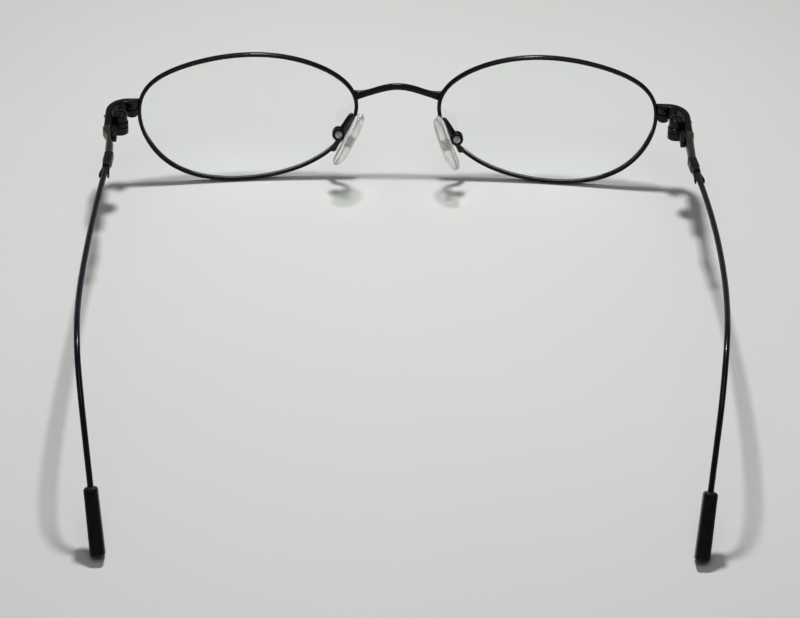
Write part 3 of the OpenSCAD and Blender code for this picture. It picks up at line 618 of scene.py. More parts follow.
def slotted_head(radius, z0, z1, slot_w, slot_d, edge, dome, sides=72):
    """Shells of a screw head: a base disc, and two rounded half discs with the slot between.

    The half discs' tops are domed: they rise by dome * (1 - (distance / radius)^2).
    """
    floor = z1 - slot_d
    half = disc_segment(radius, slot_w / 2, sides)
    shells = [slab(disc(radius, sides), z0, floor, min(edge, 0.03))]
    for sign in (1, -1):
        points, faces = slab(half * [sign, 1], floor - 0.01, z1, edge)
        share = np.clip((points[:, 2] - floor) / (z1 - floor), 0, 1)
        points[:, 2] += dome * share * (1 - (points[:, :2] ** 2).sum(1) / radius**2)
        shells.append((points, faces))
    return shells


def knuckle_outline(radius):
    """A knuckle's plan about the hinge axis: a barrel joined square to the leaf behind it."""
    box = (0.0, LEAF_OUT, -radius, radius)
    return reach(angles_round(96), [(0, 0, radius)], [box], clip_x=LEAF_OUT)


def hinge_front_shells(side):
    """The front's two knuckles with the screw's seat and bore, and their leaf in the end piece."""
    bore, head, sink = PIVOT_R + FIT, PIVOT_HEAD_R + FIT, TOP_TOP - PIVOT_HEAD_L
    seat = [
        (PIVOT_HEAD_R + BORE_MOUTH, TOP_TOP), (head, TOP_TOP - BORE_MOUTH),
        (head, sink), (bore, sink), (bore, TOP_LOW),
    ]
    upper = bush(knuckle_outline(KNUCKLE_R), seat, TOP_LOW, TOP_TOP, 0.22)
    hole = through_hole(bore, LOW_TOP, LOW_LOW)
    lower = bush(knuckle_outline(KNUCKLE_LOW_R), hole, LOW_LOW, LOW_TOP, 0.2)
    leaf_y = (LUG_FRONT + SWEEP_D - 3.2, -1.0)
    plan = rounded_rectangle(LEAF_OUT - LEAF_T, LEAF_OUT + 0.05, *leaf_y, 0.2)
    leaf = slab(plan, LUG_TOP - LUG_H + 0.1, LUG_TOP - 0.12, 0.14)
    return [(from_hinge(p, side), f) for p, f in (upper, lower, leaf)]


def hinge_temple_shells(side):
    """The temple's knuckle with its bore, the neck past the butt and the round-ended leaf."""
    x0, tall = TEMPLE_IN - LEAF_T, 1.15
    hole = through_hole(PIVOT_R + FIT, MID_TOP, -MID_TOP)
    knuckle = bush(disc(KNUCKLE_LOW_R), hole, -MID_TOP, MID_TOP, 0.16)
    neck = slab(rounded_rectangle(x0, TEMPLE_IN, 1.1, BUTT_Y + 1, 0.15), -MID_TOP, MID_TOP, 0.12)
    middle = (BUTT_Y + LEAF_BACK - tall) / 2
    end = LEAF_BACK - tall - middle
    box = (BUTT_Y + 0.1 - middle, end, -tall, tall)
    plate = reach(angles_round(96), [(end, 0, tall)], [box])
    points, faces = slab(plate, x0, TEMPLE_IN, 0.25)
    leaf = joined(points[:, 2], points[:, 0] + middle, points[:, 1]), faces
    return [(from_hinge(p, side), f) for p, f in (knuckle, neck, leaf)]


def pivot_screw_shells(side):
    """The hinge screw: a slotted head in the seat and a shank through the three knuckles."""
    top, low = TOP_TOP - 0.16, LOW_LOW - 0.02
    head = slotted_head(PIVOT_HEAD_R, TOP_TOP - PIVOT_HEAD_L + FIT, top, 0.25, 0.25, 0.08, 0.12)
    shank = revolved([
        (AXIS_R, low), (PIVOT_R - 0.1, low), (PIVOT_R, LOW_LOW + 0.1),
        (PIVOT_R, top - 0.35), (AXIS_R, top - 0.35),
    ])
    return [(from_hinge(p, side), f) for p, f in [*head, shank]]


# Temples, in the hinge frame


def bow(s):
    """How far the wire stands outside the hinge axis at distance s.

    Two parabolas, one before and one behind its widest place, carried on by straight lines.
    """
    s = np.asarray(s, float)
    toe = math.tan(math.radians(TOE_IN))
    toe_at = BOW_AT + toe * BOW_BACK_R
    curved = np.clip(s, WIRE_FREE, toe_at)
    radius = np.where(curved < BOW_AT, BOW_FRONT_R, BOW_BACK_R)
    before = np.maximum(WIRE_FREE - s, 0) * (BOW_AT - WIRE_FREE) / BOW_FRONT_R
    behind = np.maximum(s - toe_at, 0) * toe
    return BOW_X - (curved - BOW_AT) ** 2 / (2 * radius) - before - behind


def temple_points(s, side):
    """The temple's middle line at distance s: bowed in plan, turned down in an arc at the ear.

    The sway got in wear is a sine wave along it, the same way on both sides.
    """
    s = np.asarray(s, float)
    end = math.radians(BEND_DEG)
    turn = np.clip((s - BEND_AT) / BEND_R, 0, end)
    over = np.maximum(s - BEND_AT - BEND_R * end, 0)
    worn = SWAY * np.sin(math.pi * np.minimum(s, SWAY_END) / SWAY_HALF)
    return joined(
        bow(s) - side * worn,
        np.minimum(s, BEND_AT) + BEND_R * np.sin(turn) + over * math.cos(end),
        -BEND_R * (1 - np.cos(turn)) - over * math.sin(end),
    )


def at_temple(points, s, side, sight=4.0):
    """Points of a piece that lies along the temple from distance s, aimed sight further on."""
    start, ahead = temple_points([s, s + sight], side)
    d = ahead - start
    return from_hinge(turned(points, "Z", -math.degrees(math.atan2(d[0], d[1]))) + start, side)


def temple_blade_shell(side, edge=0.32):
    """The temple's flat front: a rounded bar that narrows from butt to collar in easing curves."""
    y0 = BUTT_Y + BUTT_GAP
    run = along_bar(COLLAR_AT - y0, edge, 0, 60)
    y = y0 + run
    end_x = float(temple_points([COLLAR_AT], side)[0, 0])
    butt_x = TEMPLE_IN + FRONT_W
    narrowed = ease((y - y0 - FRONT_EASE_AT) / FRONT_EASE_L)
    outer = butt_x + (end_x + FRONT_END_OUT - butt_x) * narrowed
    inner = TEMPLE_IN + (end_x - FRONT_END_W / 2 - TEMPLE_IN) * ease((y - LEAF_BACK) / 4)
    heights = [FRONT_H / 2, FRONT_H / 2 - 0.1, FRONT_END_H / 2]
    half = np.interp(y, [y0, y0 + 4, COLLAR_AT], heights)
    inset = end_inset(run, COLLAR_AT - y0, edge, 0)
    rings = bar(joined(outer, y), joined(inner, y), -half, half, inset, FRONT_CORNER)
    return loft(from_hinge(rings, side))


def collar_shells(side, edge=0.28):
    """The collar: a rounded box with a pressed line near each end, drawn in to a neck behind, and
    two blunt prongs that spread along the wire."""
    run = along_bar(COLLAR_L, edge, edge, 70)
    lines = (LINE_AT, COLLAR_L - LINE_AT)
    pressed = sum(LINE_DEPTH * np.exp(-(((run - c) / LINE_W) ** 2)) for c in lines)
    half_w = COLLAR_W / 2 * (1 - NECK_IN * ease((run - NECK_AT) / 0.5))
    inset = end_inset(run, COLLAR_L, edge, edge) + pressed
    sides = joined(half_w, run), joined(-half_w, run)
    shells = [bar(*sides, -COLLAR_H / 2, COLLAR_H / 2, inset, 0.45)]
    y = np.linspace(-PRONG_ROOT, PRONG_L, 30)
    far = PRONG_OUT + PRONG_SPREAD * ease((y - 0.2) / (PRONG_L - 0.9))
    near = WIRE_R + FIT + np.maximum(y - (PRONG_L - 0.5), 0) * 0.3
    ends = end_inset(y + PRONG_ROOT, PRONG_L + PRONG_ROOT, 0, 0.16)
    for sign in (1, -1):
        sides = joined(sign * far, y + COLLAR_L), joined(sign * near, y + COLLAR_L)
        shells.append(bar(*sides, -WIRE_R, PRONG_H - WIRE_R, ends, 0.12))
    return [loft(at_temple(rings, COLLAR_AT, side)) for rings in shells]


def wire_shell(side):
    """The temple's wire: a round tube along its middle line, from the collar into the tip."""
    s = np.linspace(COLLAR_AT + 0.5, TEMPLE_LEN - 2.2, 360)
    return loft(from_hinge(tube(temple_points(s, side), WIRE_R), side))


def tip_shell(side):
    """The plastic tip: a bar rounded at both ends, with the wire's bore in its upper end."""
    run = along_bar(TIP_L, TIP_ROUND, TIP_ROUND, 40)[::-1]
    inset = end_inset(run, TIP_L, TIP_ROUND, TIP_ROUND)
    half = TIP_W / 2 * (1 - 0.03 * np.cos(math.pi * run / TIP_L))
    rings = bar(joined(half, run), joined(-half, run), -TIP_H / 2, TIP_H / 2, inset, TIP_ROUND)
    round_mouth = unit(rings[-1][:, [0, 2]])
    bore = [
        joined(*(WIRE_R + wider) * round_mouth.T, deep)[:, [0, 2, 1]]
        for wider, deep in ((0.14, 0.0), (0.05, 0.12), (0.04, 2.0))
    ]
    placed = turned(turned(np.concatenate([rings, bore]), "Z", TOE_IN), "X", -BEND_DEG)
    return loft(from_hinge(placed + temple_points([TIP_START], side)[0], side))


# Nose pads


def arm_shell(side):
    """The pad arm: a round wire along two cubic curves, from the rim over a crown to the box.

    Its radius swells at both ends as a bell curve of the distance.
    """
    foot_a = np.array([math.radians(ARM_FOOT)])
    p = outline_at(foot_a) + RIM_OUT * 0.3 * outward_at(foot_a)
    foot = on_face(p, RIM_D / 2 - 0.1)[0]
    lift = np.array([0, 0, side * PAD_SKEW])
    top = np.array(ARM_CROWN) + lift
    end = np.array([BOX_X - 0.7, BOX_BACK, BOX_V + 0.95]) + lift
    t = np.linspace(0, 1, 60)
    rise = bezier(foot, foot + [-0.5, 2, 0.9], top + [0.8, -1.9, -2.1], top, t[:-1])
    fall = bezier(top, top + [-0.33, 0.8, 0.85], end + [-0.75, -0.15, 1.5], end, t)
    path = np.concatenate([rise, fall])
    run = np.concatenate([[0], np.cumsum(np.linalg.norm(np.diff(path, axis=0), axis=1))])
    swell = 0.32 * np.exp(-((run / 0.7) ** 2)) + 0.12 * np.exp(-(((run[-1] - run) / 0.5) ** 2))
    return loft(from_front(tube(path, ARM_R * (1 + swell)), side))


def pad_box_shells(side):
    """The pad box: two bored cheeks about the pad's tab, joined by the wall on the far side."""
    half, slot = BOX_L / 2, TAB_T / 2 + FIT
    bore, seat, sink = PAD_SCREW_R + FIT, PAD_HEAD_R + 0.08, half - 0.25
    steps = [(seat + 0.06, half), (seat, half - 0.06), (seat, sink), (bore, sink), (bore, slot)]
    rear = bush(disc(BOX_R, 80), steps, slot, half, 0.2)
    front = bush(disc(BOX_R, 80), [(bore, -slot), (bore, -half)], -half, -slot, 0.2)
    crescent = disc_segment(BOX_R, BOX_R - BOX_WALL, 64)
    back = slab(crescent * 0.995, -slot - 0.15, slot + 0.15, 0.02)
    return [(from_box(p, side), f) for p, f in (rear, front, back)]


def pad_screw_shells(side):
    """The pad screw: a slotted cheese head turned a little, and its shank."""
    half = BOX_L / 2
    head = slotted_head(PAD_HEAD_R, half - 0.23, half + 0.16, 0.26, 0.3, 0.28, 0.05)
    shank = revolved([
        (AXIS_R, -half - 0.01), (PAD_SCREW_R - 0.08, -half - 0.01), (PAD_SCREW_R, -half + 0.07),
        (PAD_SCREW_R, half), (AXIS_R, half),
    ], 48)
    return [(from_box(turned(p, "Z", HEAD_TURN), side), f) for p, f in [*head, shank]]


def pad_core_shells(side):
    """The pad's core: a plate with a window inside the pad, the tab out of it and its eye.

    The plate and its window are superellipses.
    """
    half_t, edge = TAB_T / 2, 0.08
    oblong = signed_power(disc(1.0, 88), CORE_SQUARE)
    window = oblong * CORE_WINDOW
    rings = walls(oblong * CORE_OUTER, -CORE_HALF_T, CORE_HALF_T, edge, 4)
    rings += [level_ring(window, CORE_HALF_T), level_ring(window, -CORE_HALF_T)]
    points, faces = loft(rings, closed=True)
    plate = joined(points[:, 2] + 0.2, points[:, 0], points[:, 1] - 0.3)
    shells = [(from_pad(plate, side), faces)]
    bore = PAD_SCREW_R + FIT
    points, faces = bush(disc(EYE_R, 88), [(bore, half_t), (bore, -half_t)], -half_t, half_t, edge)
    shells.append((from_box(points, side), faces))
    tab_reach = BOX_X - PAD_X + 0.3
    plan = rounded_rectangle(-tab_reach, -0.55, -0.55, 0.55, 0.15)
    points, faces = slab(plan, -half_t, half_t, edge)
    lean = math.degrees(math.atan2(BOX_V - PAD_V, tab_reach))
    tab = turned(points[:, [0, 2, 1]], "Y", -lean) + [BOX_X, BOX_BACK, BOX_V]
    shells.append((from_front(rocked(tab, side), side), faces))
    return shells


def nose_pad_shell(side, rows=96, sides=72):
    """The pad: a blunt drop whose width and thickness fall off as powers of its length t.

    It is narrower at its top, and its middle is bent towards the nose.
    """
    t = -np.cos(np.linspace(0, math.pi, rows + 1)[1:-1, None])
    wide = np.sqrt(1 - np.abs(t) ** 3.2) * (1 - PAD_NARROW * t)
    thick = (1 - t**6) ** 0.6
    c, s = directions(angles_round(sides)).T
    x = PAD_T / 2 * thick * signed_power(c, 0.8) - PAD_BELLY * (1 - t * t)
    return loft(from_pad(joined(x, PAD_W / 2 * wide * s, PAD_L / 2 * t), side))


# Magnets and studs


def magnet_shell(side):
    """The clip's magnet: a disc with a rounded edge, let into the front of the end piece."""
    points, faces = revolved([
        (AXIS_R, 0.0), (MAGNET_R - 0.1, 0.0), (MAGNET_R - 0.03, 0.03), (MAGNET_R, 0.1),
        (MAGNET_R, MAGNET_T), (AXIS_R, MAGNET_T),
    ])
    placed = turned(points, "X", -90) + [MAGNET_X, LUG_FRONT - MAGNET_PROUD, MAGNET_Z]
    return from_hinge(placed, side), faces


def stud_shell(side):
    """The stud on the side: a short pin with a domed end, a quarter of an ellipse."""
    foot = STUD_H / 2
    dome = [
        (STUD_R * math.cos(v) + 0.005, foot + STUD_H * (0.55 + 0.45 * math.sin(v)))
        for v in np.linspace(0, math.pi / 2, 8)
    ]
    points, faces = revolved([(AXIS_R, 0), (STUD_R, 0), *dome], 48)
    return from_hinge(turned(points, "Y", 90) + [LUG_OUT - foot, STUD_Y, 0], side), faces


# Finishes

BACKDROP_SHARE = 0.85  # how bright the backdrop is, as a share of the board's colour
BACKDROP_FROM, BACKDROP_TO = 0.17, 0.4  # metres from the origin where the board goes over into it
HORIZON_LOW, HORIZON_HIGH = 0.08, 0.35  # rise of a ray where the room's backdrop fades out


def add_node(tree, kind, inputs, **settings):
    """A node with its settings. An input that is another node's socket is linked, else set."""
    node = tree.nodes.new(kind)
    for name, value in settings.items():
        setattr(node, name, value)
    for key, value in inputs.items():
        if isinstance(value, bpy.types.NodeSocket):
            tree.links.new(value, node.inputs[key])
        else:
            node.inputs[key].default_value = value
    return node


def combined(tree, operation, first, second):
    """The clamped outcome of a sum or product of two values."""
    inputs = {0: first, 1: second}
    node = add_node(tree, "ShaderNodeMath", inputs, operation=operation, use_clamp=True)
    return node.outputs["Value"]


def ranged(tree, value, low, high, start=0.3, stop=0.7):
    """A value from start to stop spread out from low to high."""
    limits = {"From Min": start, "From Max": stop, "To Min": low, "To Max": high}
    return add_node(tree, "ShaderNodeMapRange", {"Value": value, **limits}).outputs["Result"]


def blended(tree, share, first, second, output):
    """What an output node shows goes over from a first shader to a second by a share."""
    mix = add_node(tree, "ShaderNodeMixShader", {"Fac": share, 1: first, 2: second})
    tree.links.new(mix.outputs["Shader"], output.inputs["Surface"])


def opaque(colour, factor=1.0):
    """A colour made lighter or darker, with a full alpha."""
    return (*(min(1.0, c * factor) for c in colour), 1.0)


class Finish:
    """A node material that is put together step by step round one shader."""

    def __init__(self, name, colour, roughness, metallic=0.0):
        self.material = bpy.data.materials.new(name)
        self.material.use_nodes = True
        self.tree = self.material.node_tree
        self.shader = self.tree.nodes["Principled BSDF"]
        self.place = add_node(self.tree, "ShaderNodeTexCoord", {}).outputs["Object"]
        self.set("Base Color", opaque(colour))
        self.set("Roughness", roughness).set("Metallic", metallic)

    def set(self, socket, value):
        """Sets one of the shader's own sockets."""
        self.shader.inputs[socket].default_value = value
        return self

    def noise(self, scale, detail, stretch=(1.0, 1.0, 1.0)):
        """A noise over the piece, with scale spots to the metre."""
        inputs = {"Vector": self.place, "Scale": stretch}
        place = add_node(self.tree, "ShaderNodeMapping", inputs).outputs["Vector"]
        inputs = {"Vector": place, "Scale": scale, "Detail": detail}
        return add_node(self.tree, "ShaderNodeTexNoise", inputs).outputs["Fac"]

    def colour_between(self, value, colour, dark, light):
        """The base colour goes from a dark to a light share of itself with a value."""
        inputs = {
            "Factor": ranged(self.tree, value, 0.0, 1.0),
            "A": opaque(colour, dark), "B": opaque(colour, light),
        }
        mix = add_node(self.tree, "ShaderNodeMix", inputs, data_type="RGBA")
        self.tree.links.new(mix.outputs["Result"], self.shader.inputs["Base Color"])

    def rough_between(self, value, low, high):
        """The roughness goes from low to high with a value."""
        rough = ranged(self.tree, value, low, high)
        self.tree.links.new(rough, self.shader.inputs["Roughness"])

    def bumped(self, value, height):
        """A relief of a given height in millimetres."""
        node = add_node(self.tree, "ShaderNodeBump", {"Height": value, "Distance": height * MM})
        self.tree.links.new(node.outputs["Normal"], self.shader.inputs["Normal"])

    def goes_over(self, share, other):
        """The surface goes over from this shader to another by a share."""
        output = self.tree.nodes["Material Output"]
        blended(self.tree, share, self.shader.outputs["BSDF"], other, output)

    def lets_lamps_through(self, tint):
        """Shadow rays pass, tinted, so that a clear piece throws no black shadow."""
        clear = add_node(self.tree, "ShaderNodeBsdfTransparent", {"Color": tint})
        path = add_node(self.tree, "ShaderNodeLightPath", {})
        self.goes_over(path.outputs["Is Shadow Ray"], clear.outputs["BSDF"])


def lacquer(name, colour):
    """A baked lacquer: fine orange peel, slightly uneven depth of colour, and a clear coat."""
    f = Finish(name, colour, 0.32)
    f.colour_between(f.noise(420, 4.0), colour, 0.7, 1.5)
    f.rough_between(f.noise(900, 3.0), 0.3, 0.48)
    f.bumped(f.noise(2600, 2.0), 0.006)
    f.set("Specular IOR Level", 0.02).set("Coat Weight", 0.4)
    f.set("Coat Roughness", 0.17).set("Coat IOR", 1.45)
    return f.material


def satin_metal(name, colour):
    """Lacquered steel drawn lengthwise: fine lines along the temple and a broad sheen."""
    f = Finish(name, colour, 0.36, metallic=0.75)
    lines = f.noise(1.0, 3.0, stretch=(5200, 240, 5200))
    f.colour_between(lines, colour, 0.72, 1.35)
    f.rough_between(f.noise(700, 3.0), 0.3, 0.46)
    f.bumped(lines, 0.004)
    f.set("Coat Weight", 0.12).set("Coat Roughness", 0.2)
    return f.material


def bright_metal(name, colour, rough):
    """Bare plated metal: faint tooling marks and small changes of polish."""
    f = Finish(name, colour, rough, metallic=1.0)
    f.colour_between(f.noise(1100, 3.0), colour, 0.82, 1.08)
    f.rough_between(f.noise(2300, 4.0), rough * 0.7, rough * 1.5)
    f.bumped(f.noise(4200, 2.0), 0.004)
    return f.material


def clear_plastic(name, tint, ior, low, high, relief, milk=0.0, passed=0.985):
    """A clear moulding: sharp to look through, with a breath of haze that comes and goes.

    Milk is the share of the light that it scatters instead of letting it through, and passed is
    the share that goes on straight at each surface and so isn't missing in its shadow.
    """
    f = Finish(name, tint, low)
    f.set("Transmission Weight", 1.0 - milk).set("IOR", ior)
    f.rough_between(f.noise(160, 3.0), low, high)
    f.bumped(f.noise(500, 2.0), relief)
    f.lets_lamps_through(opaque(tint, passed))
    return f.material


def moulded_plastic(name, colour):
    """Black moulded plastic: a fine spark-eroded grain under a dull polish."""
    f = Finish(name, colour, 0.38)
    f.colour_between(f.noise(300, 4.0), colour, 0.75, 1.45)
    f.rough_between(f.noise(800, 3.0), 0.28, 0.46)
    f.bumped(f.noise(3800, 3.0), 0.008)
    f.set("Specular IOR Level", 0.16)
    return f.material


def seen_directly(tree):
    """1 for rays from the camera, off gloss or through clear pieces, 0 for all the others."""
    path = add_node(tree, "ShaderNodeLightPath", {})
    seen = combined(tree, "ADD", path.outputs["Is Camera Ray"], path.outputs["Is Glossy Ray"])
    return combined(tree, "ADD", seen, path.outputs["Is Transmission Ray"])


def floor_material(colour):
    """A matt pale board with a hardly visible cloudiness.

    Where the lamps no longer reach, it goes over into a pale backdrop of its own brightness.
    """
    f = Finish("pale_board", colour, 0.6)
    f.colour_between(f.noise(9, 3.0), colour, 0.988, 1.012)
    f.bumped(f.noise(260, 3.0), 0.01)
    f.set("Specular IOR Level", 0.15)
    away = add_node(f.tree, "ShaderNodeVectorMath", {0: f.place}, operation="LENGTH")
    far = ranged(f.tree, away.outputs["Value"], 0.0, 1.0, BACKDROP_FROM, BACKDROP_TO)
    share = combined(f.tree, "MULTIPLY", far, seen_directly(f.tree))
    backdrop = add_node(f.tree, "ShaderNodeEmission", {"Color": opaque(colour, BACKDROP_SHARE)})
    f.goes_over(share, backdrop.outputs["Emission"])
    return f.material


def room_world(strength, colour):
    """The room: an even dim light all round, which looks like a pale backdrop near the horizon."""
    world = bpy.data.worlds.new("room")
    world.use_nodes = True
    tree = world.node_tree
    dim = tree.nodes["Background"]
    dim.inputs["Color"].default_value = (1.0, 1.0, 0.99, 1.0)
    dim.inputs["Strength"].default_value = strength
    pale = add_node(tree, "ShaderNodeBackground", {"Color": opaque(colour, BACKDROP_SHARE)})
    ray = add_node(tree, "ShaderNodeTexCoord", {}).outputs["Generated"]
    rise = add_node(tree, "ShaderNodeSeparateXYZ", {"Vector": ray}).outputs["Z"]
    low = ranged(tree, rise, 1.0, 0.0, HORIZON_LOW, HORIZON_HIGH)
    share = combined(tree, "MULTIPLY", seen_directly(tree), low)
    shaders = dim.outputs["Background"], pale.outputs["Background"]
    blended(tree, share, *shaders, tree.nodes["World Output"])
    return world


# What a user can change


def colour_prop(name, description, default):
    """A colour."""
    return bpy.props.FloatVectorProperty(
        name=name, description=description, default=default,
        subtype="COLOR", size=3, min=0.0, max=1.0,
    )


def share_prop(name, description, default):
    """A share from 0 to 1."""
    return bpy.props.FloatProperty(
        name=name, description=description, default=default, min=0.0, max=1.0, subtype="FACTOR"
    )


def length_prop(name, description, default, low, high):
    """A length in metres between two limits."""
    return bpy.props.FloatProperty(
        name=name, description=description, default=default, min=low, max=high, unit="LENGTH"
    )


class SpectacleColours(bpy.types.PropertyGroup):
    """Colours of the finishes."""

    lacquer: colour_prop(
        "Lacquer", "Black lacquer of rims, bridge, end pieces and hinges", (0.003, 0.0032, 0.0038)
    )
    wire: colour_prop(
        "Temple wire", "Blue-black lacquer of the wires and collars", (0.0045, 0.0052, 0.0095)
    )
    blade: colour_prop(
        "Temple front", "Olive satin of the flat temple fronts", (0.034, 0.036, 0.026)
    )
    nickel: colour_prop(
        "Nickel", "Plated screws, studs, cores and magnets", (0.45, 0.44, 0.425)
    )
    dark_screw: colour_prop(
        "Dark screw", "Browned steel of the hinge and closing screws", (0.03, 0.03, 0.032)
    )
    lens: colour_prop("Lens", "Tint of the lens plastic", (0.985, 0.992, 0.988))
    pad: colour_prop("Nose pad", "Tint of the pads' silicone", (0.955, 0.965, 0.95))
    tip: colour_prop("Temple tip", "Black plastic of the tips", (0.004, 0.0043, 0.0055))
    board: colour_prop("Board", "The pale board under the frame", (0.70, 0.715, 0.695))


class SpectacleLight(bpy.types.PropertyGroup):
    """Places and strengths of the studio light."""

    lamp_height: length_prop("Lamp height", "Near lamp's height above the board", 0.36, 0.2, 2.0)
    lamp_size: length_prop("Lamp size", "Side of the near lamp", 0.04, 0.01, 0.5)
    lamp_share: share_prop("Near lamp", "Share of the light that comes from the near lamp", 0.78)
    box_share: share_prop("Soft box", "Share of the light from the large soft box", 0.13)
    room: share_prop("Room", "Brightness of the room all round", 0.10)


# Operators

MATERIALS = {}


def material_for(slot):
    """The finish of one of the record's material slots, made once."""
    if slot in MATERIALS:
        return MATERIALS[slot]
    colours = bpy.context.scene.spectacle_colours
    lens = (colours.lens, 1.5, 0.0, 0.012, 0.0005)
    pad = (colours.pad, 1.43, 0.03, 0.07, 0.01, 0.15, 0.78)
    makers = {
        "black_lacquer": lambda: lacquer("black_lacquer_coat", colours.lacquer),
        "blue_black_lacquer": lambda: lacquer("blue_black_coat", colours.wire),
        "olive_metal": lambda: satin_metal("olive_satin", colours.blade),
        "dark_screw": lambda: bright_metal("browned_steel", colours.dark_screw, 0.3),
        "nickel": lambda: bright_metal("nickel_plate", colours.nickel, 0.2),
        "lens_plastic": lambda: clear_plastic("lens_clear", *lens),
        "pad_silicone": lambda: clear_plastic("pad_clear", *pad),
        "black_plastic": lambda: moulded_plastic("tip_plastic", colours.tip),
    }
    MATERIALS[slot] = makers[slot]()
    return MATERIALS[slot]


def make_pairs(*rows):
    """Left and right pieces, from rows of a name, a CAD node and the function of its shells."""
    for word, node, shells_of in rows:
        for side, hand in SIDES:
            make_piece(f"{word}_{hand}", shells_of(side), f"{node}_{hand}")
    return {"FINISHED"}


class PieceOperator:
    """What the operators of this file share."""

    bl_options = {"REGISTER", "UNDO"}


class SPECTACLES_OT_rims(PieceOperator, bpy.types.Operator):
    """Make the two eyewires."""

    bl_idname = "spectacles.rims"
    bl_label = "Rims"

    def execute(self, context):
        return make_pairs(("rim", "eyewire", rim_shell))


class SPECTACLES_OT_lenses(PieceOperator, bpy.types.Operator):
    """Make the two lenses."""

    bl_idname = "spectacles.lenses"
    bl_label = "Lenses"

    def execute(self, context):
        return make_pairs(("clear_lens", "lens", lens_shell))


class SPECTACLES_OT_bridge(PieceOperator, bpy.types.Operator):
    """Make the bridge bar."""

    bl_idname = "spectacles.bridge"
    bl_label = "Bridge"

    def execute(self, context):
        make_piece("bridge_bar", bridge_shell(), "bridge")
        return {"FINISHED"}


class SPECTACLES_OT_end_pieces(PieceOperator, bpy.types.Operator):
    """Make the swept end pieces."""

    bl_idname = "spectacles.end_pieces"
    bl_label = "End pieces"

    def execute(self, context):
        return make_pairs(("end_bar", "end_piece", end_bar_shell))


class SPECTACLES_OT_closing_blocks(PieceOperator, bpy.types.Operator):
    """Make the closing blocks that hold the eyewires' ends, and their screws."""

    bl_idname = "spectacles.closing_blocks"
    bl_label = "Closing blocks"

    def execute(self, context):
        return make_pairs(
            ("block_upper", "closing_block_upper", block_upper_shell),
            ("block_lower", "closing_block_lower", block_lower_shell),
            ("closing_screw", "rim_screw", rim_screw_shells),
        )


class SPECTACLES_OT_hinges(PieceOperator, bpy.types.Operator):
    """Make the hinges' front knuckles, temple knuckles and screws."""

    bl_idname = "spectacles.hinges"
    bl_label = "Hinges"

    def execute(self, context):
        return make_pairs(
            ("front_knuckles", "hinge_front", hinge_front_shells),
            ("temple_knuckle", "hinge_temple", hinge_temple_shells),
            ("pivot_screw", "hinge_screw", pivot_screw_shells),
        )


class SPECTACLES_OT_temples(PieceOperator, bpy.types.Operator):
    """Make the temples: flat fronts, collars, wires and tips."""

    bl_idname = "spectacles.temples"
    bl_label = "Temples"

    def execute(self, context):
        return make_pairs(
            ("blade", "temple_front", temple_blade_shell),
            ("collar", "temple_collar", collar_shells),
            ("wire", "temple_wire", wire_shell),
            ("tip", "temple_tip", tip_shell),
        )


class SPECTACLES_OT_nose_pads(PieceOperator, bpy.types.Operator):
    """Make the pad arms, boxes, screws, cores and clear pads."""

    bl_idname = "spectacles.nose_pads"
    bl_label = "Nose pads"

    def execute(self, context):
        return make_pairs(
            ("arm", "pad_arm", arm_shell),
            ("box", "pad_box", pad_box_shells),
            ("box_screw", "pad_screw", pad_screw_shells),
            ("core", "pad_core", pad_core_shells),
            ("clear_pad", "nose_pad", nose_pad_shell),
        )


class SPECTACLES_OT_fittings(PieceOperator, bpy.types.Operator):
    """Make the clip's magnets and the side studs."""

    bl_idname = "spectacles.fittings"
    bl_label = "Magnets and studs"

    def execute(self, context):
        return make_pairs(
            ("magnet", "clip_magnet", magnet_shell),
            ("stud", "end_stud", stud_shell),
        )


# Camera, board and light. Places are in metres.

CAMERA_PLACE = (0.01538, 0.62091, 0.49572)
CAMERA_LOOK = (-0.0195, -0.7878, -0.6157)
CAMERA_RIGHT = (-0.9998, 0.0097, 0.0191)
FOCAL_PX, IMAGE_W, SENSOR_W = 3835.8, 800, 36.0
BOARD_CORNERS = [(-3.0, -3.0, 0), (3.0, -3.0, 0), (3.0, 3.0, 0), (-3.0, 3.0, 0)]
LAMP_X, LAMP_Y, LAMP_AIM_Y = 0.002, -0.138, 0.2
BOX_PLACE, BOX_AIM, BOX_SIZE = (0.0, 0.36, 0.75), (0.0, 0.1, 0.0), 0.5
LIT = math.pi * math.pi  # power that lights a white board to 1 from a metre right above
LAMP_GAIN, BOX_GAIN = 1.25, 1 / 1.16


def add_lamp(name, place, size, power, target):
    """A square lamp at a place, which points at a target."""
    data = bpy.data.lights.new(name, "AREA")
    data.shape, data.size, data.energy = "SQUARE", size, power
    lamp = bpy.data.objects.new(name, data)
    lamp.location = place
    lamp.rotation_euler = (Vector(target) - Vector(place)).to_track_quat("-Z", "Y").to_euler()
    lamp.visible_camera = False
    bpy.context.scene.collection.objects.link(lamp)


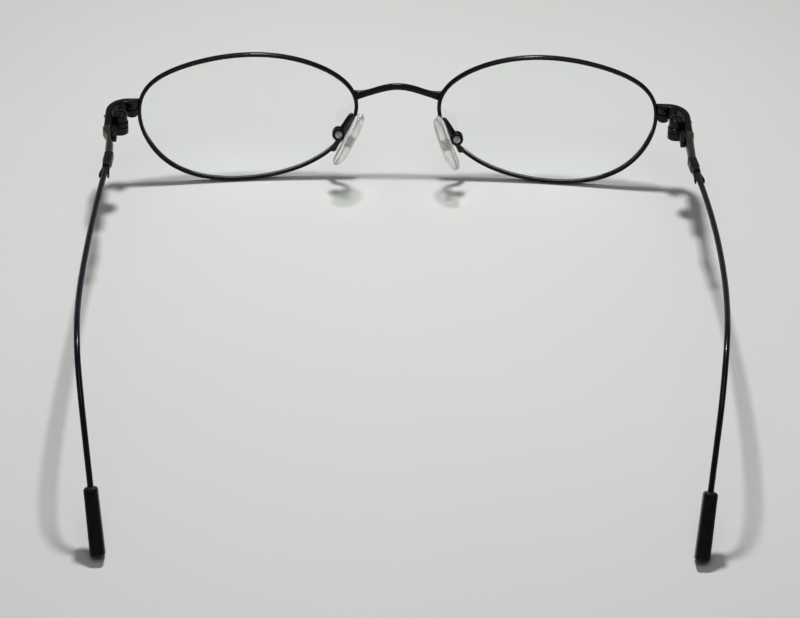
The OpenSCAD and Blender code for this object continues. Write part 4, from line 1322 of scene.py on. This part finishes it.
class SPECTACLES_OT_stage(PieceOperator, bpy.types.Operator):
    """Set up the camera, the board and the studio light."""

    bl_idname = "spectacles.stage"
    bl_label = "Stage"

    def execute(self, context):
        scene = context.scene
        look = Vector(CAMERA_LOOK).normalized()
        right = Vector(CAMERA_RIGHT)
        right = (right - look * right.dot(look)).normalized()
        turn = Matrix((right, right.cross(look), -look)).transposed()
        data = bpy.data.cameras.new("photo_camera")
        data.sensor_width, data.sensor_fit = SENSOR_W, "HORIZONTAL"
        data.lens = FOCAL_PX / IMAGE_W * SENSOR_W
        data.clip_start, data.clip_end = 0.01, 20.0
        camera = bpy.data.objects.new("photo_camera", data)
        camera.matrix_world = Matrix.Translation(CAMERA_PLACE) @ turn.to_4x4()
        scene.collection.objects.link(camera)
        scene.camera = camera

        colour, light = scene.spectacle_colours.board, scene.spectacle_light
        mesh = bpy.data.meshes.new("board")
        mesh.from_pydata(BOARD_CORNERS, [], [(0, 1, 2, 3)])
        mesh.materials.append(floor_material(colour))
        board = bpy.data.objects.new("board", mesh)
        scene.collection.objects.link(board)

        place = LAMP_X, LAMP_Y, light.lamp_height
        power = light.lamp_share * LIT * light.lamp_height**2 * LAMP_GAIN
        add_lamp("near_lamp", place, light.lamp_size, power, (LAMP_X, LAMP_AIM_Y, 0.0))
        add_lamp("soft_box", BOX_PLACE, BOX_SIZE, light.box_share * LIT * BOX_GAIN, BOX_AIM)
        scene.world = room_world(light.room, colour)
        scene.view_settings.view_transform = "Standard"
        return {"FINISHED"}


OPERATORS = (
    SPECTACLES_OT_stage,
    SPECTACLES_OT_rims,
    SPECTACLES_OT_lenses,
    SPECTACLES_OT_bridge,
    SPECTACLES_OT_end_pieces,
    SPECTACLES_OT_closing_blocks,
    SPECTACLES_OT_hinges,
    SPECTACLES_OT_temples,
    SPECTACLES_OT_nose_pads,
    SPECTACLES_OT_fittings,
)


class SPECTACLES_PT_panel(bpy.types.Panel):
    """The sidebar panel that lists the pieces, colours and light."""

    bl_idname = "SPECTACLES_PT_panel"
    bl_label = "Spectacle frame"
    bl_space_type = "VIEW_3D"
    bl_region_type = "UI"
    bl_category = "Spectacles"

    def draw(self, context):
        column = self.layout.column()
        for group in (context.scene.spectacle_colours, context.scene.spectacle_light):
            for name in group.__annotations__:
                column.prop(group, name)
        for operator in OPERATORS:
            column.operator(operator.bl_idname)


CLASSES = (SpectacleColours, SpectacleLight, *OPERATORS, SPECTACLES_PT_panel)


def register():
    """Registers the classes and hangs the settings on the scene."""
    for cls in CLASSES:
        bpy.utils.register_class(cls)
    bpy.types.Scene.spectacle_colours = bpy.props.PointerProperty(type=SpectacleColours)
    bpy.types.Scene.spectacle_light = bpy.props.PointerProperty(type=SpectacleLight)


def unregister():
    """Takes the settings and classes away again."""
    del bpy.types.Scene.spectacle_light
    del bpy.types.Scene.spectacle_colours
    for cls in reversed(CLASSES):
        bpy.utils.unregister_class(cls)


def main():
    register()
    for operator in OPERATORS:
        group, name = operator.bl_idname.split(".")
        getattr(getattr(bpy.ops, group), name)()


if __name__ == "__main__":
    main()
